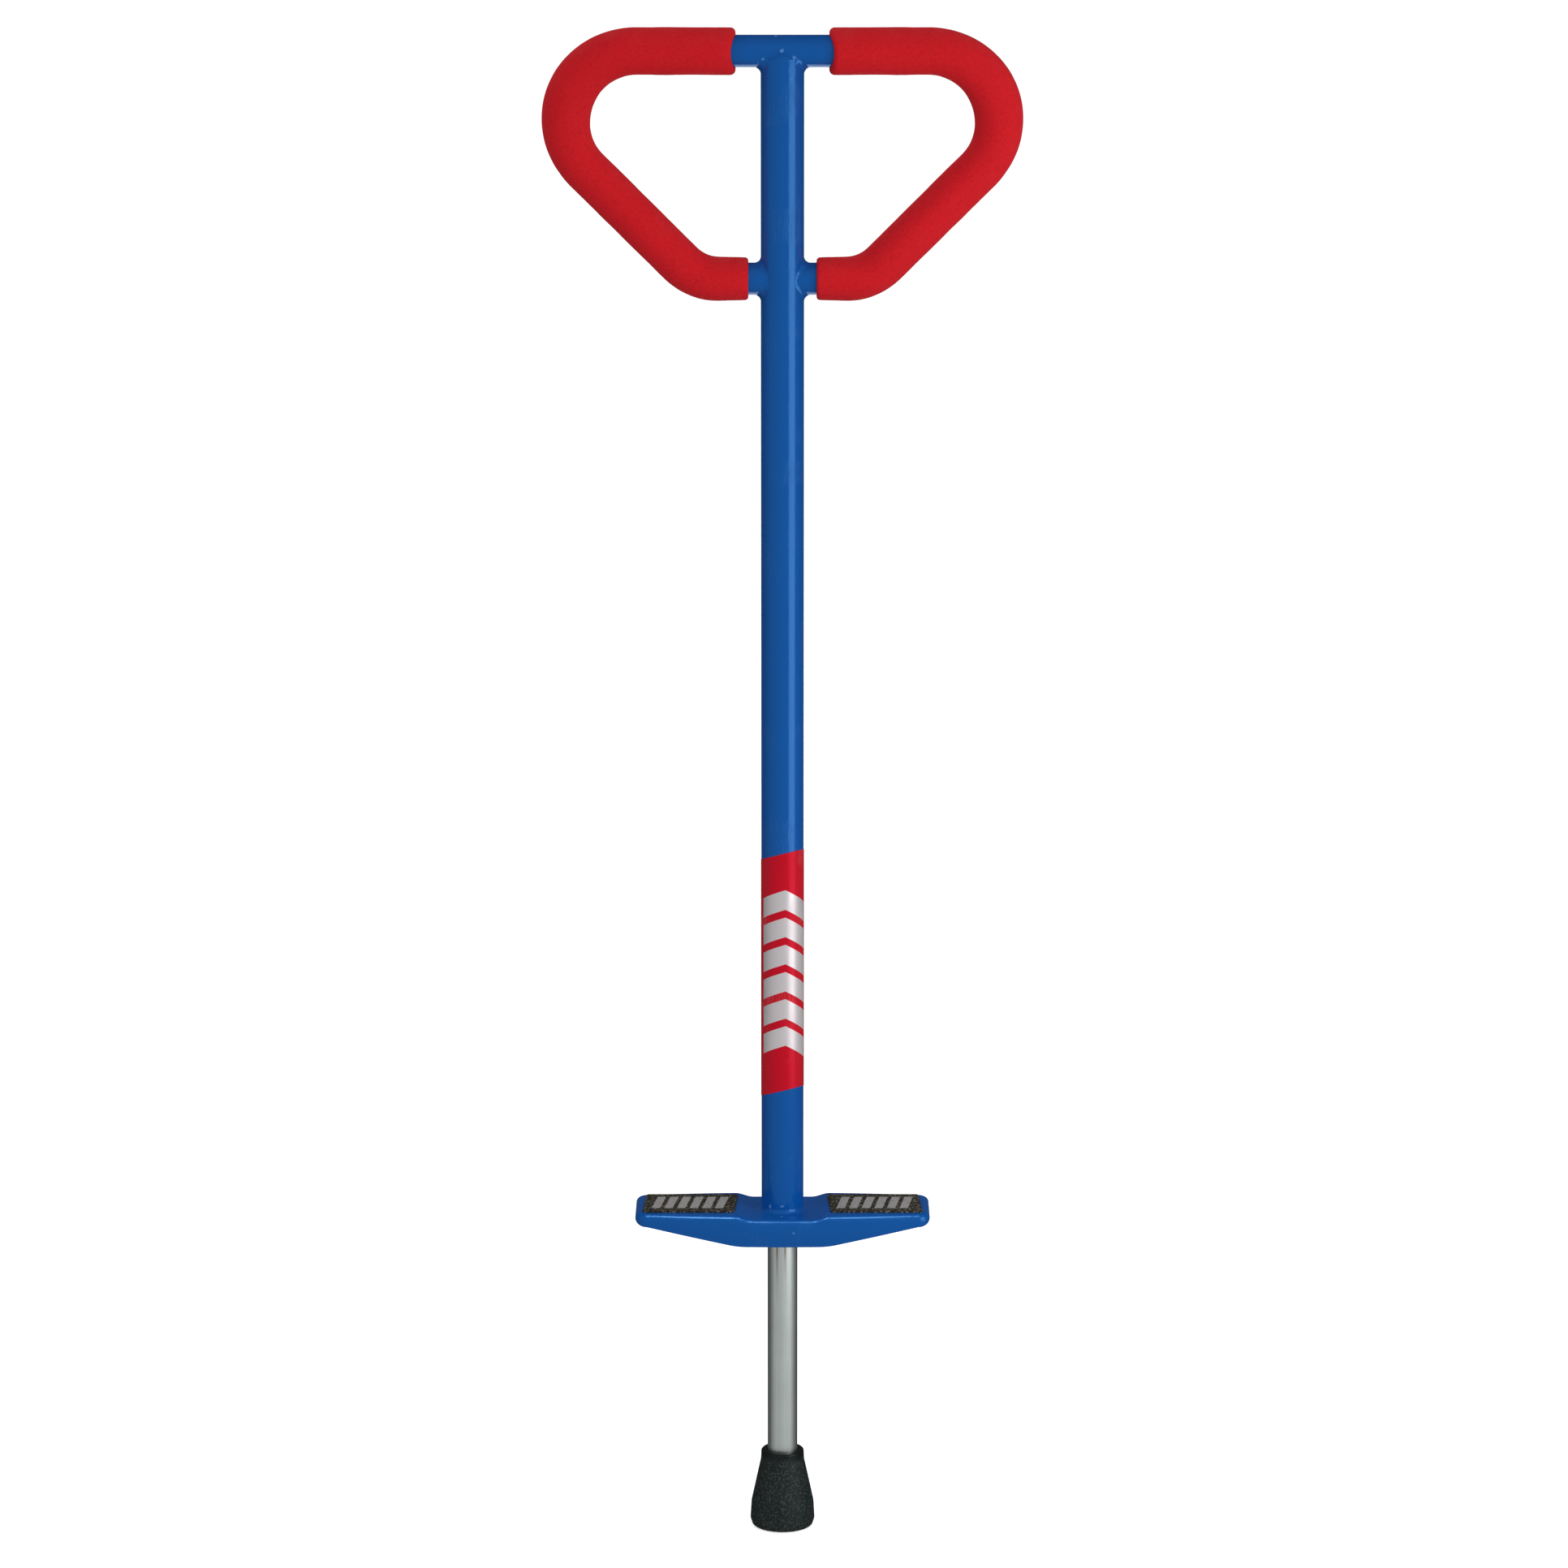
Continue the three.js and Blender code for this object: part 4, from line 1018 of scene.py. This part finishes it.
# %% Stub welds
def stub_edges(angle):
    """From the lower end of the loop out over the side of the main tube."""
    up, side = math.cos(angle), math.sin(angle)
    y = (BAR_R + FILLET) * side
    x = math.sqrt((TUBE_R + FILLET) ** 2 - y * y)
    start = Vector((x, BAR_R * side, STUB_Z + BAR_R * up))
    onto = Vector((x, y, 0)) * (TUBE_R / (TUBE_R + FILLET))
    end = onto + Vector((0, 0, STUB_Z + (BAR_R + FILLET) * up))
    round_tube = Vector((-y, x, 0)).normalized()
    return start, Vector((-1, 0, 0)), end, round_tube * side + Vector((0, 0, up))


right_fillet = weld(stub_edges, Vector((TUBE_R - 0.002, 0, STUB_Z)))
left_fillet = mirror_copy(right_fillet)
finish(right_fillet, "stub_fillet_right", "frame", "stub_weld_right", blue_paint, smooth=50)
finish(left_fillet, "stub_fillet_left", "frame", "stub_weld_left", blue_paint, smooth=50)

# %% [markdown]
# ## Foot plate
# The foot plate is pressed from one sheet: its middle sits low round the tube, a soft ramp rises to a
# foot area on each side, the edge folds down all round, and the skirt is deepest at the middle. A
# block gets its rounded corners and its fold with Bevel, many Bisect cuts across it give it points to
# bend, and then the long sides are bowed, the foot areas lifted and the skirt's edge shaped. Solidify
# gives it the thickness of the sheet.

# %% Foot plate sizes
plate_low, plate_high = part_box("foot_platform")
BLOCK_DEPTH = 0.02  # of the block that the plate is made from
PLATE_X = 0.098
PLATE_END_Y = 0.0245
PLATE_MID_Y = plate_high.y
PLATE_CORNER = 0.008
PLATE_FOLD = 0.004
PLATE_SHEET = 0.002
STEP = 0.0027
STEP_FROM, STEP_TO = 0.0195, 0.0315
FOOT_TOP = plate_high.z
PLATE_TOP = FOOT_TOP - STEP
LIP_Z = plate_low.z
LIP_X = 0.03
LIP_SOFT = 0.006  # the bend from the level middle to the rising ends is rounded
END_ROUND_X = 0.09
END_ROUND = 0.004
END_LIP_Z = FOOT_TOP - 0.0086


def eased(value, low, high):
    """0 below low, 1 above high and a soft S between."""
    share = min(max((value - low) / (high - low), 0), 1)
    return share * share * (3 - 2 * share)


def lip_at(x):
    """The height of the skirt's lower edge."""
    far = abs(x)
    slope = (END_LIP_Z - LIP_Z) / (END_ROUND_X - LIP_X)
    if far < LIP_X - LIP_SOFT:
        return LIP_Z
    if far < LIP_X + LIP_SOFT:
        return LIP_Z + slope * (far - LIP_X + LIP_SOFT) ** 2 / (4 * LIP_SOFT)
    height = LIP_Z + slope * (min(far, END_ROUND_X) - LIP_X)
    if far > END_ROUND_X:
        share = (far - END_ROUND_X) / (PLATE_X - END_ROUND_X)
        height += END_ROUND * (1 - math.sqrt(max(1 - share ** 2, 0)))
    return height


print("plate top", round(PLATE_TOP, 4), "foot area", round(FOOT_TOP, 4), "lip", round(LIP_Z, 4))

# %% Foot plate
plate = slab((2 * PLATE_X, 2 * PLATE_END_Y, BLOCK_DEPTH), (0, 0, PLATE_TOP - BLOCK_DEPTH / 2))
round_edges(plate, lambda middle, corners: abs(corners[0].z - corners[-1].z) > BLOCK_DEPTH / 2,
            PLATE_CORNER, 12, clamp_overlap=False)
round_edges(plate, lambda middle, corners: min(c.z for c in corners) > PLATE_TOP - 0.00001,
            PLATE_FOLD, 8, clamp_overlap=False)
block_foot = PLATE_TOP - BLOCK_DEPTH
choose(plate, "FACE", lambda middle, corners: middle.z < block_foot + 0.0005)
bpy.ops.mesh.delete(type="ONLY_FACE")
close()
FINE_STEP, FINE_CUTS = 0.0015, 24  # close together over the middle and the ramps
WIDE_FROM, WIDE_STEP, WIDE_CUTS = 0.036, 0.003, 19  # further apart over the foot areas
stations = [FINE_STEP * i for i in range(FINE_CUTS)] + [WIDE_FROM + WIDE_STEP * i for i in range(WIDE_CUTS)]
for x in sorted({-s for s in stations} | set(stations)):
    whole(plate)
    bpy.ops.mesh.bisect(plane_co=(x, 0, 0), plane_no=(1, 0, 0))
    close()
flat = PLATE_X - PLATE_CORNER
for vertex in plate.data.vertices:
    x, y, z = vertex.co
    bow = (PLATE_MID_Y - PLATE_END_Y) * max(1 - (x / flat) ** 2, 0)
    y += math.copysign(bow, y) * min(abs(y) / (PLATE_END_Y - PLATE_FOLD), 1)
    lift = STEP * eased(abs(x), STEP_FROM, STEP_TO)
    vertex.co = (x, y, lip_at(x) if z < block_foot + 0.001 else z + lift)
face_out(plate)
facing(plate, lambda centre, normal: normal.z)
apply(plate, "SOLIDIFY", thickness=PLATE_SHEET, offset=-1, use_rim=True, use_even_offset=True)
apply(plate, "BEVEL", width=0.0005, segments=2, limit_method="ANGLE", angle_limit=math.radians(55))
cut(plate, rod(TUBE_R + HOLE_PLAY, (0, 0, LIP_Z - 0.01), (0, 0, FOOT_TOP + 0.01), 128))
finish(plate, "tread_plate", "frame", "foot_platform", blue_paint)
fold_only.objects.link(plate)

# %% [markdown]
# The tube passes through the plate and is welded to it all round. This fillet is a turned ring with a
# hollow face.

# %% Plate weld
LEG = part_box("platform_weld")[1].x - TUBE_R - 0.0002
BITE = 0.0004  # how far the fillet reaches into the tube and the plate
ARC_STEPS = 8
RING_SCALE, RING_SWELL = 380, 0.00022
base = PLATE_TOP
hollow = [(TUBE_R + LEG - LEG * math.sin(a), base + LEG - LEG * math.cos(a), 0)
          for a in (math.pi / 2 * i / ARC_STEPS for i in range(ARC_STEPS + 1))]
ring = turned([(TUBE_R - BITE, base - BITE, 0), (TUBE_R + LEG, base - BITE, 0)] + hollow
              + [(TUBE_R - BITE, base + LEG, 0)], sides=128)
for vertex in ring.data.vertices:
    if vertex.co.xy.length > TUBE_R + 0.0002 and vertex.co.z > base + 0.0002:
        vertex.co += vertex.co.xy.to_3d().normalized() * noise.noise(vertex.co * RING_SCALE) * RING_SWELL
finish(ring, "plate_fillet", "frame", "platform_weld", blue_paint, smooth=50)

# %% [markdown]
# ## Foot pads
# Each foot area carries a slanted rectangle of anti-slip tape, a little further out at the front. A
# thin block is slanted by moving its points, and its corners and upper edge are rounded with Bevel.

# %% Foot pads
PAD_LEAN = 0.0024
PAD_BASE = FOOT_TOP + 0.00002
PAD_CORNER, PAD_EDGE = 0.0018, 0.0003
pad = slab((pad_high.x - pad_low.x - PAD_LEAN, pad_high.y - pad_low.y, pad_high.z - PAD_BASE),
           (pad_x, 0, (PAD_BASE + pad_high.z) / 2))
for vertex in pad.data.vertices:
    vertex.co.x -= PAD_LEAN * vertex.co.y / (pad_high.y - pad_low.y)
round_edges(pad, lambda middle, corners: abs(corners[0].z - corners[-1].z) > 0.0005, PAD_CORNER, 8)
round_edges(pad, lambda middle, corners: min(c.z for c in corners) > pad_high.z - 0.00001, PAD_EDGE, 3)
left_pad = mirror_copy(pad)
finish(pad, "grip_tape_right", "frame", "foot_pad_right", grit_tape)
finish(left_pad, "grip_tape_left", "frame", "foot_pad_left", grit_tape)

# %% [markdown]
# ## Wrap on the tube
# The printed wrap goes round the tube and nearly meets at the back. Its two edges rise to the right.
# A grid is wound round the tube, and Solidify makes it a film.

# %% Wrap
WRAP_GAP = 0.006
WRAP_ROWS = 60
WRAP_HALF = 0.081
WRAP_LIFT = 0.00003  # off the paint
WRAP_FILM = 0.00022
wrap_bottom, wrap_top = middle_z - WRAP_HALF, middle_z + WRAP_HALF


def on_wrap(share, row):
    """A point of the wrap, from the gap at the back once round to the gap again."""
    angle = (share - 0.5) * (2 * math.pi - WRAP_GAP / TUBE_R)
    x, y = math.sin(angle), -math.cos(angle)
    radius = TUBE_R + WRAP_LIFT
    height = wrap_bottom + (wrap_top - wrap_bottom) * row / WRAP_ROWS
    height += (DECAL_SLANT * x - DECAL_TIP * (y + 1)) * radius
    return Vector((x * radius, y * radius, height))


wrap = formed(120, WRAP_ROWS + 1, on_wrap)
facing(wrap, lambda centre, normal: centre.x * normal.x + centre.y * normal.y)
apply(wrap, "SOLIDIFY", thickness=WRAP_FILM, offset=1, use_rim=True)
finish(wrap, "chevron_wrap", "frame", "tube_decal", red_vinyl)

# %% [markdown]
# ## Foam grips
# Each side of the loop wears a foam sleeve, pushed on while soapy. It is thickest round the big bend
# and thins towards its two ends, where the edges are cut and a little rounded. The sleeve is formed
# along the loop's centre line. The tube inside keeps it in shape, so it needs no cloth simulation: a
# slow noise gives it the slight unevenness of soft foam.

# %% Loop line
CROSS_END = LOOP_BEND_X
BEND_END = CROSS_END + LOOP_RADIUS * LEG_TURN
LEG_END = BEND_END + leg_length
SMALL_END = LEG_END + STUB_RADIUS * (math.pi - LEG_TURN)
LOOP_END = SMALL_END + STUB_BEND_X


def on_loop(far):
    """The centre line's point and direction at a distance from the middle of the crossbar."""
    def on_arc(middle, radius, turn):
        away = Vector((math.sin(turn), 0, math.cos(turn)))
        return middle + away * radius, Vector((math.cos(turn), 0, -math.sin(turn)))
    if far < CROSS_END:
        return Vector((far, 0, BAR_Z)), Vector((1, 0, 0))
    if far < BEND_END:
        return on_arc(upper, LOOP_RADIUS, (far - CROSS_END) / LOOP_RADIUS)
    if far < LEG_END:
        way = (leg_end - leg_start).normalized()
        return leg_start + way * (far - BEND_END), way
    if far < SMALL_END:
        return on_arc(lower, STUB_RADIUS, LEG_TURN + (far - LEG_END) / STUB_RADIUS)
    return Vector((STUB_BEND_X - (far - SMALL_END), 0, STUB_Z)), Vector((-1, 0, 0))


print("half of the loop is", round(LOOP_END, 4), "m long")

# %% Foam grips
FOAM_FROM = 0.030
FOAM_TO = LOOP_END - 0.022
FOAM_BORE = BAR_R + 0.00012
FOAM_EDGE = 0.0034
FOAM_END_CUT = 0.003  # how far the top end is cut back at the front
EDGE_SHARE = 0.7  # of the wall, taken by the rounding of a cut edge
EDGE_STEPS = 8
OUTSIDE_STEPS, INSIDE_STEPS = 150, 60


def foam_wall(far):
    """The sleeve's thickness along the loop."""
    middle = (CROSS_END + BEND_END) / 2
    stretches = [(CROSS_END, 0.0046), (middle, 0.0053), (BEND_END, 0.0041), (LEG_END, 0.004),
                 (LOOP_END, 0.0029)]
    if far <= CROSS_END:
        return stretches[0][1]
    for (s0, w0), (s1, w1) in zip(stretches, stretches[1:]):
        if far <= s1:
            return w0 + (w1 - w0) * eased(far, s0, s1)
    return stretches[-1][1]


def foam_end(far, inwards):
    """The rounded edge of one end, from the outside down to the cut face."""
    wall = foam_wall(far)
    edge = EDGE_SHARE * wall
    turns = [math.pi / 2 * step / EDGE_STEPS for step in range(EDGE_STEPS + 1)]
    return [(far + inwards * edge * (1 - math.sin(turn)), wall - edge * (1 - math.cos(turn)))
            for turn in turns]


def foam_profile():
    """Distance along the loop and height above the bore, from one end's bore over the outside."""
    start, stop = FOAM_FROM + FOAM_EDGE, FOAM_TO - EDGE_SHARE * foam_wall(FOAM_TO)
    over = [start + (stop - start) * i / OUTSIDE_STEPS for i in range(1, OUTSIDE_STEPS)]
    outside = foam_end(FOAM_FROM, 1)[::-1] + [(far, foam_wall(far)) for far in over] + foam_end(FOAM_TO, -1)
    inside = [(FOAM_TO - (FOAM_TO - FOAM_FROM) * i / INSIDE_STEPS, 0.0) for i in range(INSIDE_STEPS + 1)]
    return [(FOAM_FROM, 0.0)] + outside + inside


FOAM_LINE = foam_profile()


def on_foam(share, row):
    """A point of the sleeve: round the tube by share, along it by row."""
    far, wall = FOAM_LINE[row]
    angle = 2 * math.pi * share
    into, side = math.cos(angle), math.sin(angle)  # side is +1 at the back and -1 at the front
    near_end = 1 - eased(far, FOAM_FROM, FOAM_FROM + 0.02)
    far += FOAM_END_CUT * near_end * max(-side, 0) ** 1.5
    point, way = on_loop(far)
    away = Vector((-way.z, 0, way.x))
    out = away * into + Vector((0, side, 0))
    swell = 0.0
    if wall > 0:
        swell = noise.noise(point * 60 + out * 0.4) * 0.00022
        swell += noise.noise((point + out * 0.01) * 240) * 0.00006
    return point + out * (FOAM_BORE + wall + swell * min(wall / 0.002, 1))


foam = formed(96, len(FOAM_LINE), on_foam)
left_foam = mirror_copy(foam)
for sleeve, side in ((foam, "right"), (left_foam, "left")):
    finish(sleeve, f"foam_sleeve_{side}", "frame", f"foam_grip_{side}", red_foam, smooth=45)

# %% [markdown]
# ## Plunger
# The sprung half of the stick: a drawn steel shaft with a guide block pinned in its top, and a rubber
# foot on its lower end. All of them are turned parts.

# %% Shaft
shaft_low, shaft_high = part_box("shaft_tube")
SHAFT_R = shaft_high.x
SHAFT_WALL = 0.0015
PIN_Z, PIN_R = lying("guide_pin")
shaft = turned(collar(SHAFT_R - SHAFT_WALL, SHAFT_R, shaft_low.z, shaft_high.z,
                      (0.0003, 0.0004, 0.0004, 0.0003)), sides=128)
drill(shaft, PIN_R + HOLE_PLAY, PIN_Z)
finish(shaft, "plunger_shaft", "plunger", "shaft_tube", shaft_steel)

# %% Rubber foot
tip_low, tip_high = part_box("rubber_tip")
TIP_BASE_R = tip_high.x
SOCKET_R = SHAFT_R + 0.0002
SOCKET_Z = 0.014
tip = turned([
    (0, tip_low.z, 0), (0.008, tip_low.z, 0.0006), (0.0086, tip_low.z + 0.0012, 0.0006),
    (0.0114, tip_low.z + 0.0012, 0.0006), (0.012, tip_low.z, 0.0006),
    (TIP_BASE_R - 0.0014, tip_low.z, 0.0018), (TIP_BASE_R, tip_low.z + 0.0045, 0.004),
    (0.0209, 0.0165, 0.012), (0.01455, 0.0462, 0.01), (0.0143, tip_high.z, 0.0014),
    (SOCKET_R, tip_high.z, 0.0006), (SOCKET_R, SOCKET_Z, 0.0005), (0, SOCKET_Z, 0)], sides=128)
finish(tip, "rubber_foot", "plunger", "rubber_tip", black_rubber)

# %% Washer in the foot
disc_low, disc_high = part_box("tip_disc")
WASHER_HOLE_R = 0.003
washer = turned(collar(WASHER_HOLE_R, disc_high.x, disc_low.z, disc_high.z, (0.0003, 0.0004, 0.0004, 0.0003)))
finish(washer, "foot_washer", "plunger", "tip_disc", zinc_steel)

# %% Guide block and pin
guide_low, guide_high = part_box("upper_guide")
GUIDE_R = guide_high.x
WEB_Z = guide_high.z - 0.005
GROOVE_R = GUIDE_R - 0.0005
base = guide_low.z
block = turned([(0, WEB_Z, 0), (SOCKET_R, WEB_Z, 0.0006), (SOCKET_R, base, 0.0004),
                (GUIDE_R, base, 0.0006), (GUIDE_R, base + 0.009, 0.0003),
                (GROOVE_R, base + 0.0096, 0.0003), (GROOVE_R, base + 0.0114, 0.0003),
                (GUIDE_R, base + 0.012, 0.0003), (GUIDE_R, guide_high.z, 0.001), (0, guide_high.z, 0)])
drill(block, PIN_R + HOLE_PLAY, PIN_Z)
finish(block, "guide_block", "plunger", "upper_guide", nylon)

pin_low, pin_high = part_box("guide_pin")
pin = turned(collar(0, PIN_R, pin_low.x, pin_high.x, (0, 0.0005, 0.0005, 0)), 48)
lay_across(pin, PIN_Z)
finish(pin, "cross_pin", "plunger", "guide_pin", zinc_steel)

# %% [markdown]
# ## Inside the tube
# The spring sits between two steel seats. The upper seat rests against a pin through the tube, whose
# ends are painted over; the lower one rides up with the plunger. A rubber ring above the lower bush
# takes the knock when the plunger comes back.

# %% Spring seats
SPIGOT_R = 0.0065
DISC_DEPTH = 0.003


def spring_seat(node, body, name, spigot_up):
    """A disc with a spigot that centres the spring's end coil."""
    low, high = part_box(node)
    radius, spigot = high.x, SPIGOT_R
    step = low.z + DISC_DEPTH if spigot_up else high.z - DISC_DEPTH
    near, far = (low.z, high.z) if spigot_up else (high.z, low.z)
    seat = turned([(0, near, 0), (radius, near, 0.0004), (radius, step, 0.0005), (spigot, step, 0.0006),
                   (spigot, far, 0.0009), (0, far, 0)])
    finish(seat, name, body, node, zinc_steel)


spring_seat("lower_spring_seat", "spring_carriage", "sliding_seat", True)
spring_seat("upper_spring_seat", "frame", "fixed_seat", False)

# %% Spring
spring_low, spring_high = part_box("main_spring")
WIRE_R = 0.002
COIL_R = spring_high.x - WIRE_R
TURNS = 42
TURN_STEPS = 26
CLOSED_PITCH = 2 * WIRE_R * 1.03
coil_rise = spring_high.z - spring_low.z - 2 * WIRE_R
OPEN_PITCH = (coil_rise - 2 * CLOSED_PITCH) / (TURNS - 2)


def on_coil(share, row):
    """A point of the wire: round it by share, along it by row. The end turns lie closed."""
    turn = row / TURN_STEPS
    free = min(max(turn - 1, 0), TURNS - 2)
    rise = CLOSED_PITCH * (turn - free) + OPEN_PITCH * free
    angle = 2 * math.pi * turn
    out = Vector((math.cos(angle), math.sin(angle), 0))
    centre = out * COIL_R + Vector((0, 0, spring_low.z + WIRE_R + rise))
    round_wire = 2 * math.pi * share
    return centre + (out * math.cos(round_wire) + Vector((0, 0, math.sin(round_wire)))) * WIRE_R


spring = formed(12, TURNS * TURN_STEPS + 1, on_coil, close_ends=True)
finish(spring, "coil_spring", "frame", "main_spring", spring_steel, smooth=50)
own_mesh(spring)

# %% Bumper, bush and stop pin
bump_low, bump_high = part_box("rebound_bumper")
RUNNING_PLAY = 0.0003
BORE_R = SHAFT_R + RUNNING_PLAY
bumper = turned(collar(BORE_R, bump_high.x, bump_low.z, bump_high.z, (0.0004, 0.0014, 0.0014, 0.0004)))
finish(bumper, "bump_ring", "frame", "rebound_bumper", black_rubber)

bush_low, bush_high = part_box("lower_bush")
BUSH_R = TUBE_R - TUBE_WALL - RUNNING_PLAY
FLANGE_TOP = bush_low.z + 0.0024
bush = turned([(BORE_R, bush_low.z, 0.0007), (bush_high.x, bush_low.z, 0.0008),
               (bush_high.x, FLANGE_TOP, 0.0004), (BUSH_R, FLANGE_TOP, 0.0003),
               (BUSH_R, bush_high.z, 0.0006), (BORE_R, bush_high.z, 0.0005)])
drill(bush, SCREW_HOLE_R, SCREW_Z)
finish(bush, "guide_bush", "frame", "lower_bush", nylon)

stop_low, stop_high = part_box("spring_stop_pin")
stop = turned(collar(0, STOP_R, stop_low.x, stop_high.x, (0, 0.0009, 0.0009, 0)), 64)
lay_across(stop, STOP_Z)
for vertex in stop.data.vertices:  # the ends are dressed flush with the tube's side
    if abs(vertex.co.z) > TUBE_R - 0.002:
        vertex.co.z *= math.sqrt(max(TUBE_R ** 2 - vertex.co.y ** 2, 0)) / TUBE_R
finish(stop, "stop_plug", "frame", "spring_stop_pin", blue_paint)

# %% [markdown]
# Two round-headed screws hold the bush in the tube. One is turned about its own axis, gets a cross
# cut in its head and is laid on its side, and the other is its mirror image.

# %% Bush screws
SCREW_R = 0.0017
HEAD_R = 0.0035
RIM = 0.0009  # the straight part of the head, and the taper of the point
SLOT_WIDTH, SLOT_LENGTH, SLOT_DEPTH = 0.0008, 0.0042, 0.0022
screw_low, screw_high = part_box("bush_screw_right")
head_from, head_to = TUBE_R + 0.0001, screw_high.x
screw = turned([(0, screw_low.x, 0), (SCREW_R * 0.5, screw_low.x, 0.0002),
                (SCREW_R, screw_low.x + RIM, 0.0003), (SCREW_R, head_from, 0.0001),
                (HEAD_R, head_from, 0.0003), (HEAD_R, head_from + RIM, 0.0005),
                (HEAD_R * 0.62, head_to, 0.0012), (0, head_to, 0)], 64)
for across, down in ((SLOT_WIDTH, SLOT_LENGTH), (SLOT_LENGTH, SLOT_WIDTH)):
    cut(screw, slab((across, down, SLOT_DEPTH), (0, 0, head_to)))
lay_across(screw, SCREW_Z)
settle(screw)
left_screw = mirror_copy(screw)
finish(screw, "cross_screw_right", "frame", "bush_screw_right", zinc_steel)
finish(left_screw, "cross_screw_left", "frame", "bush_screw_left", zinc_steel)
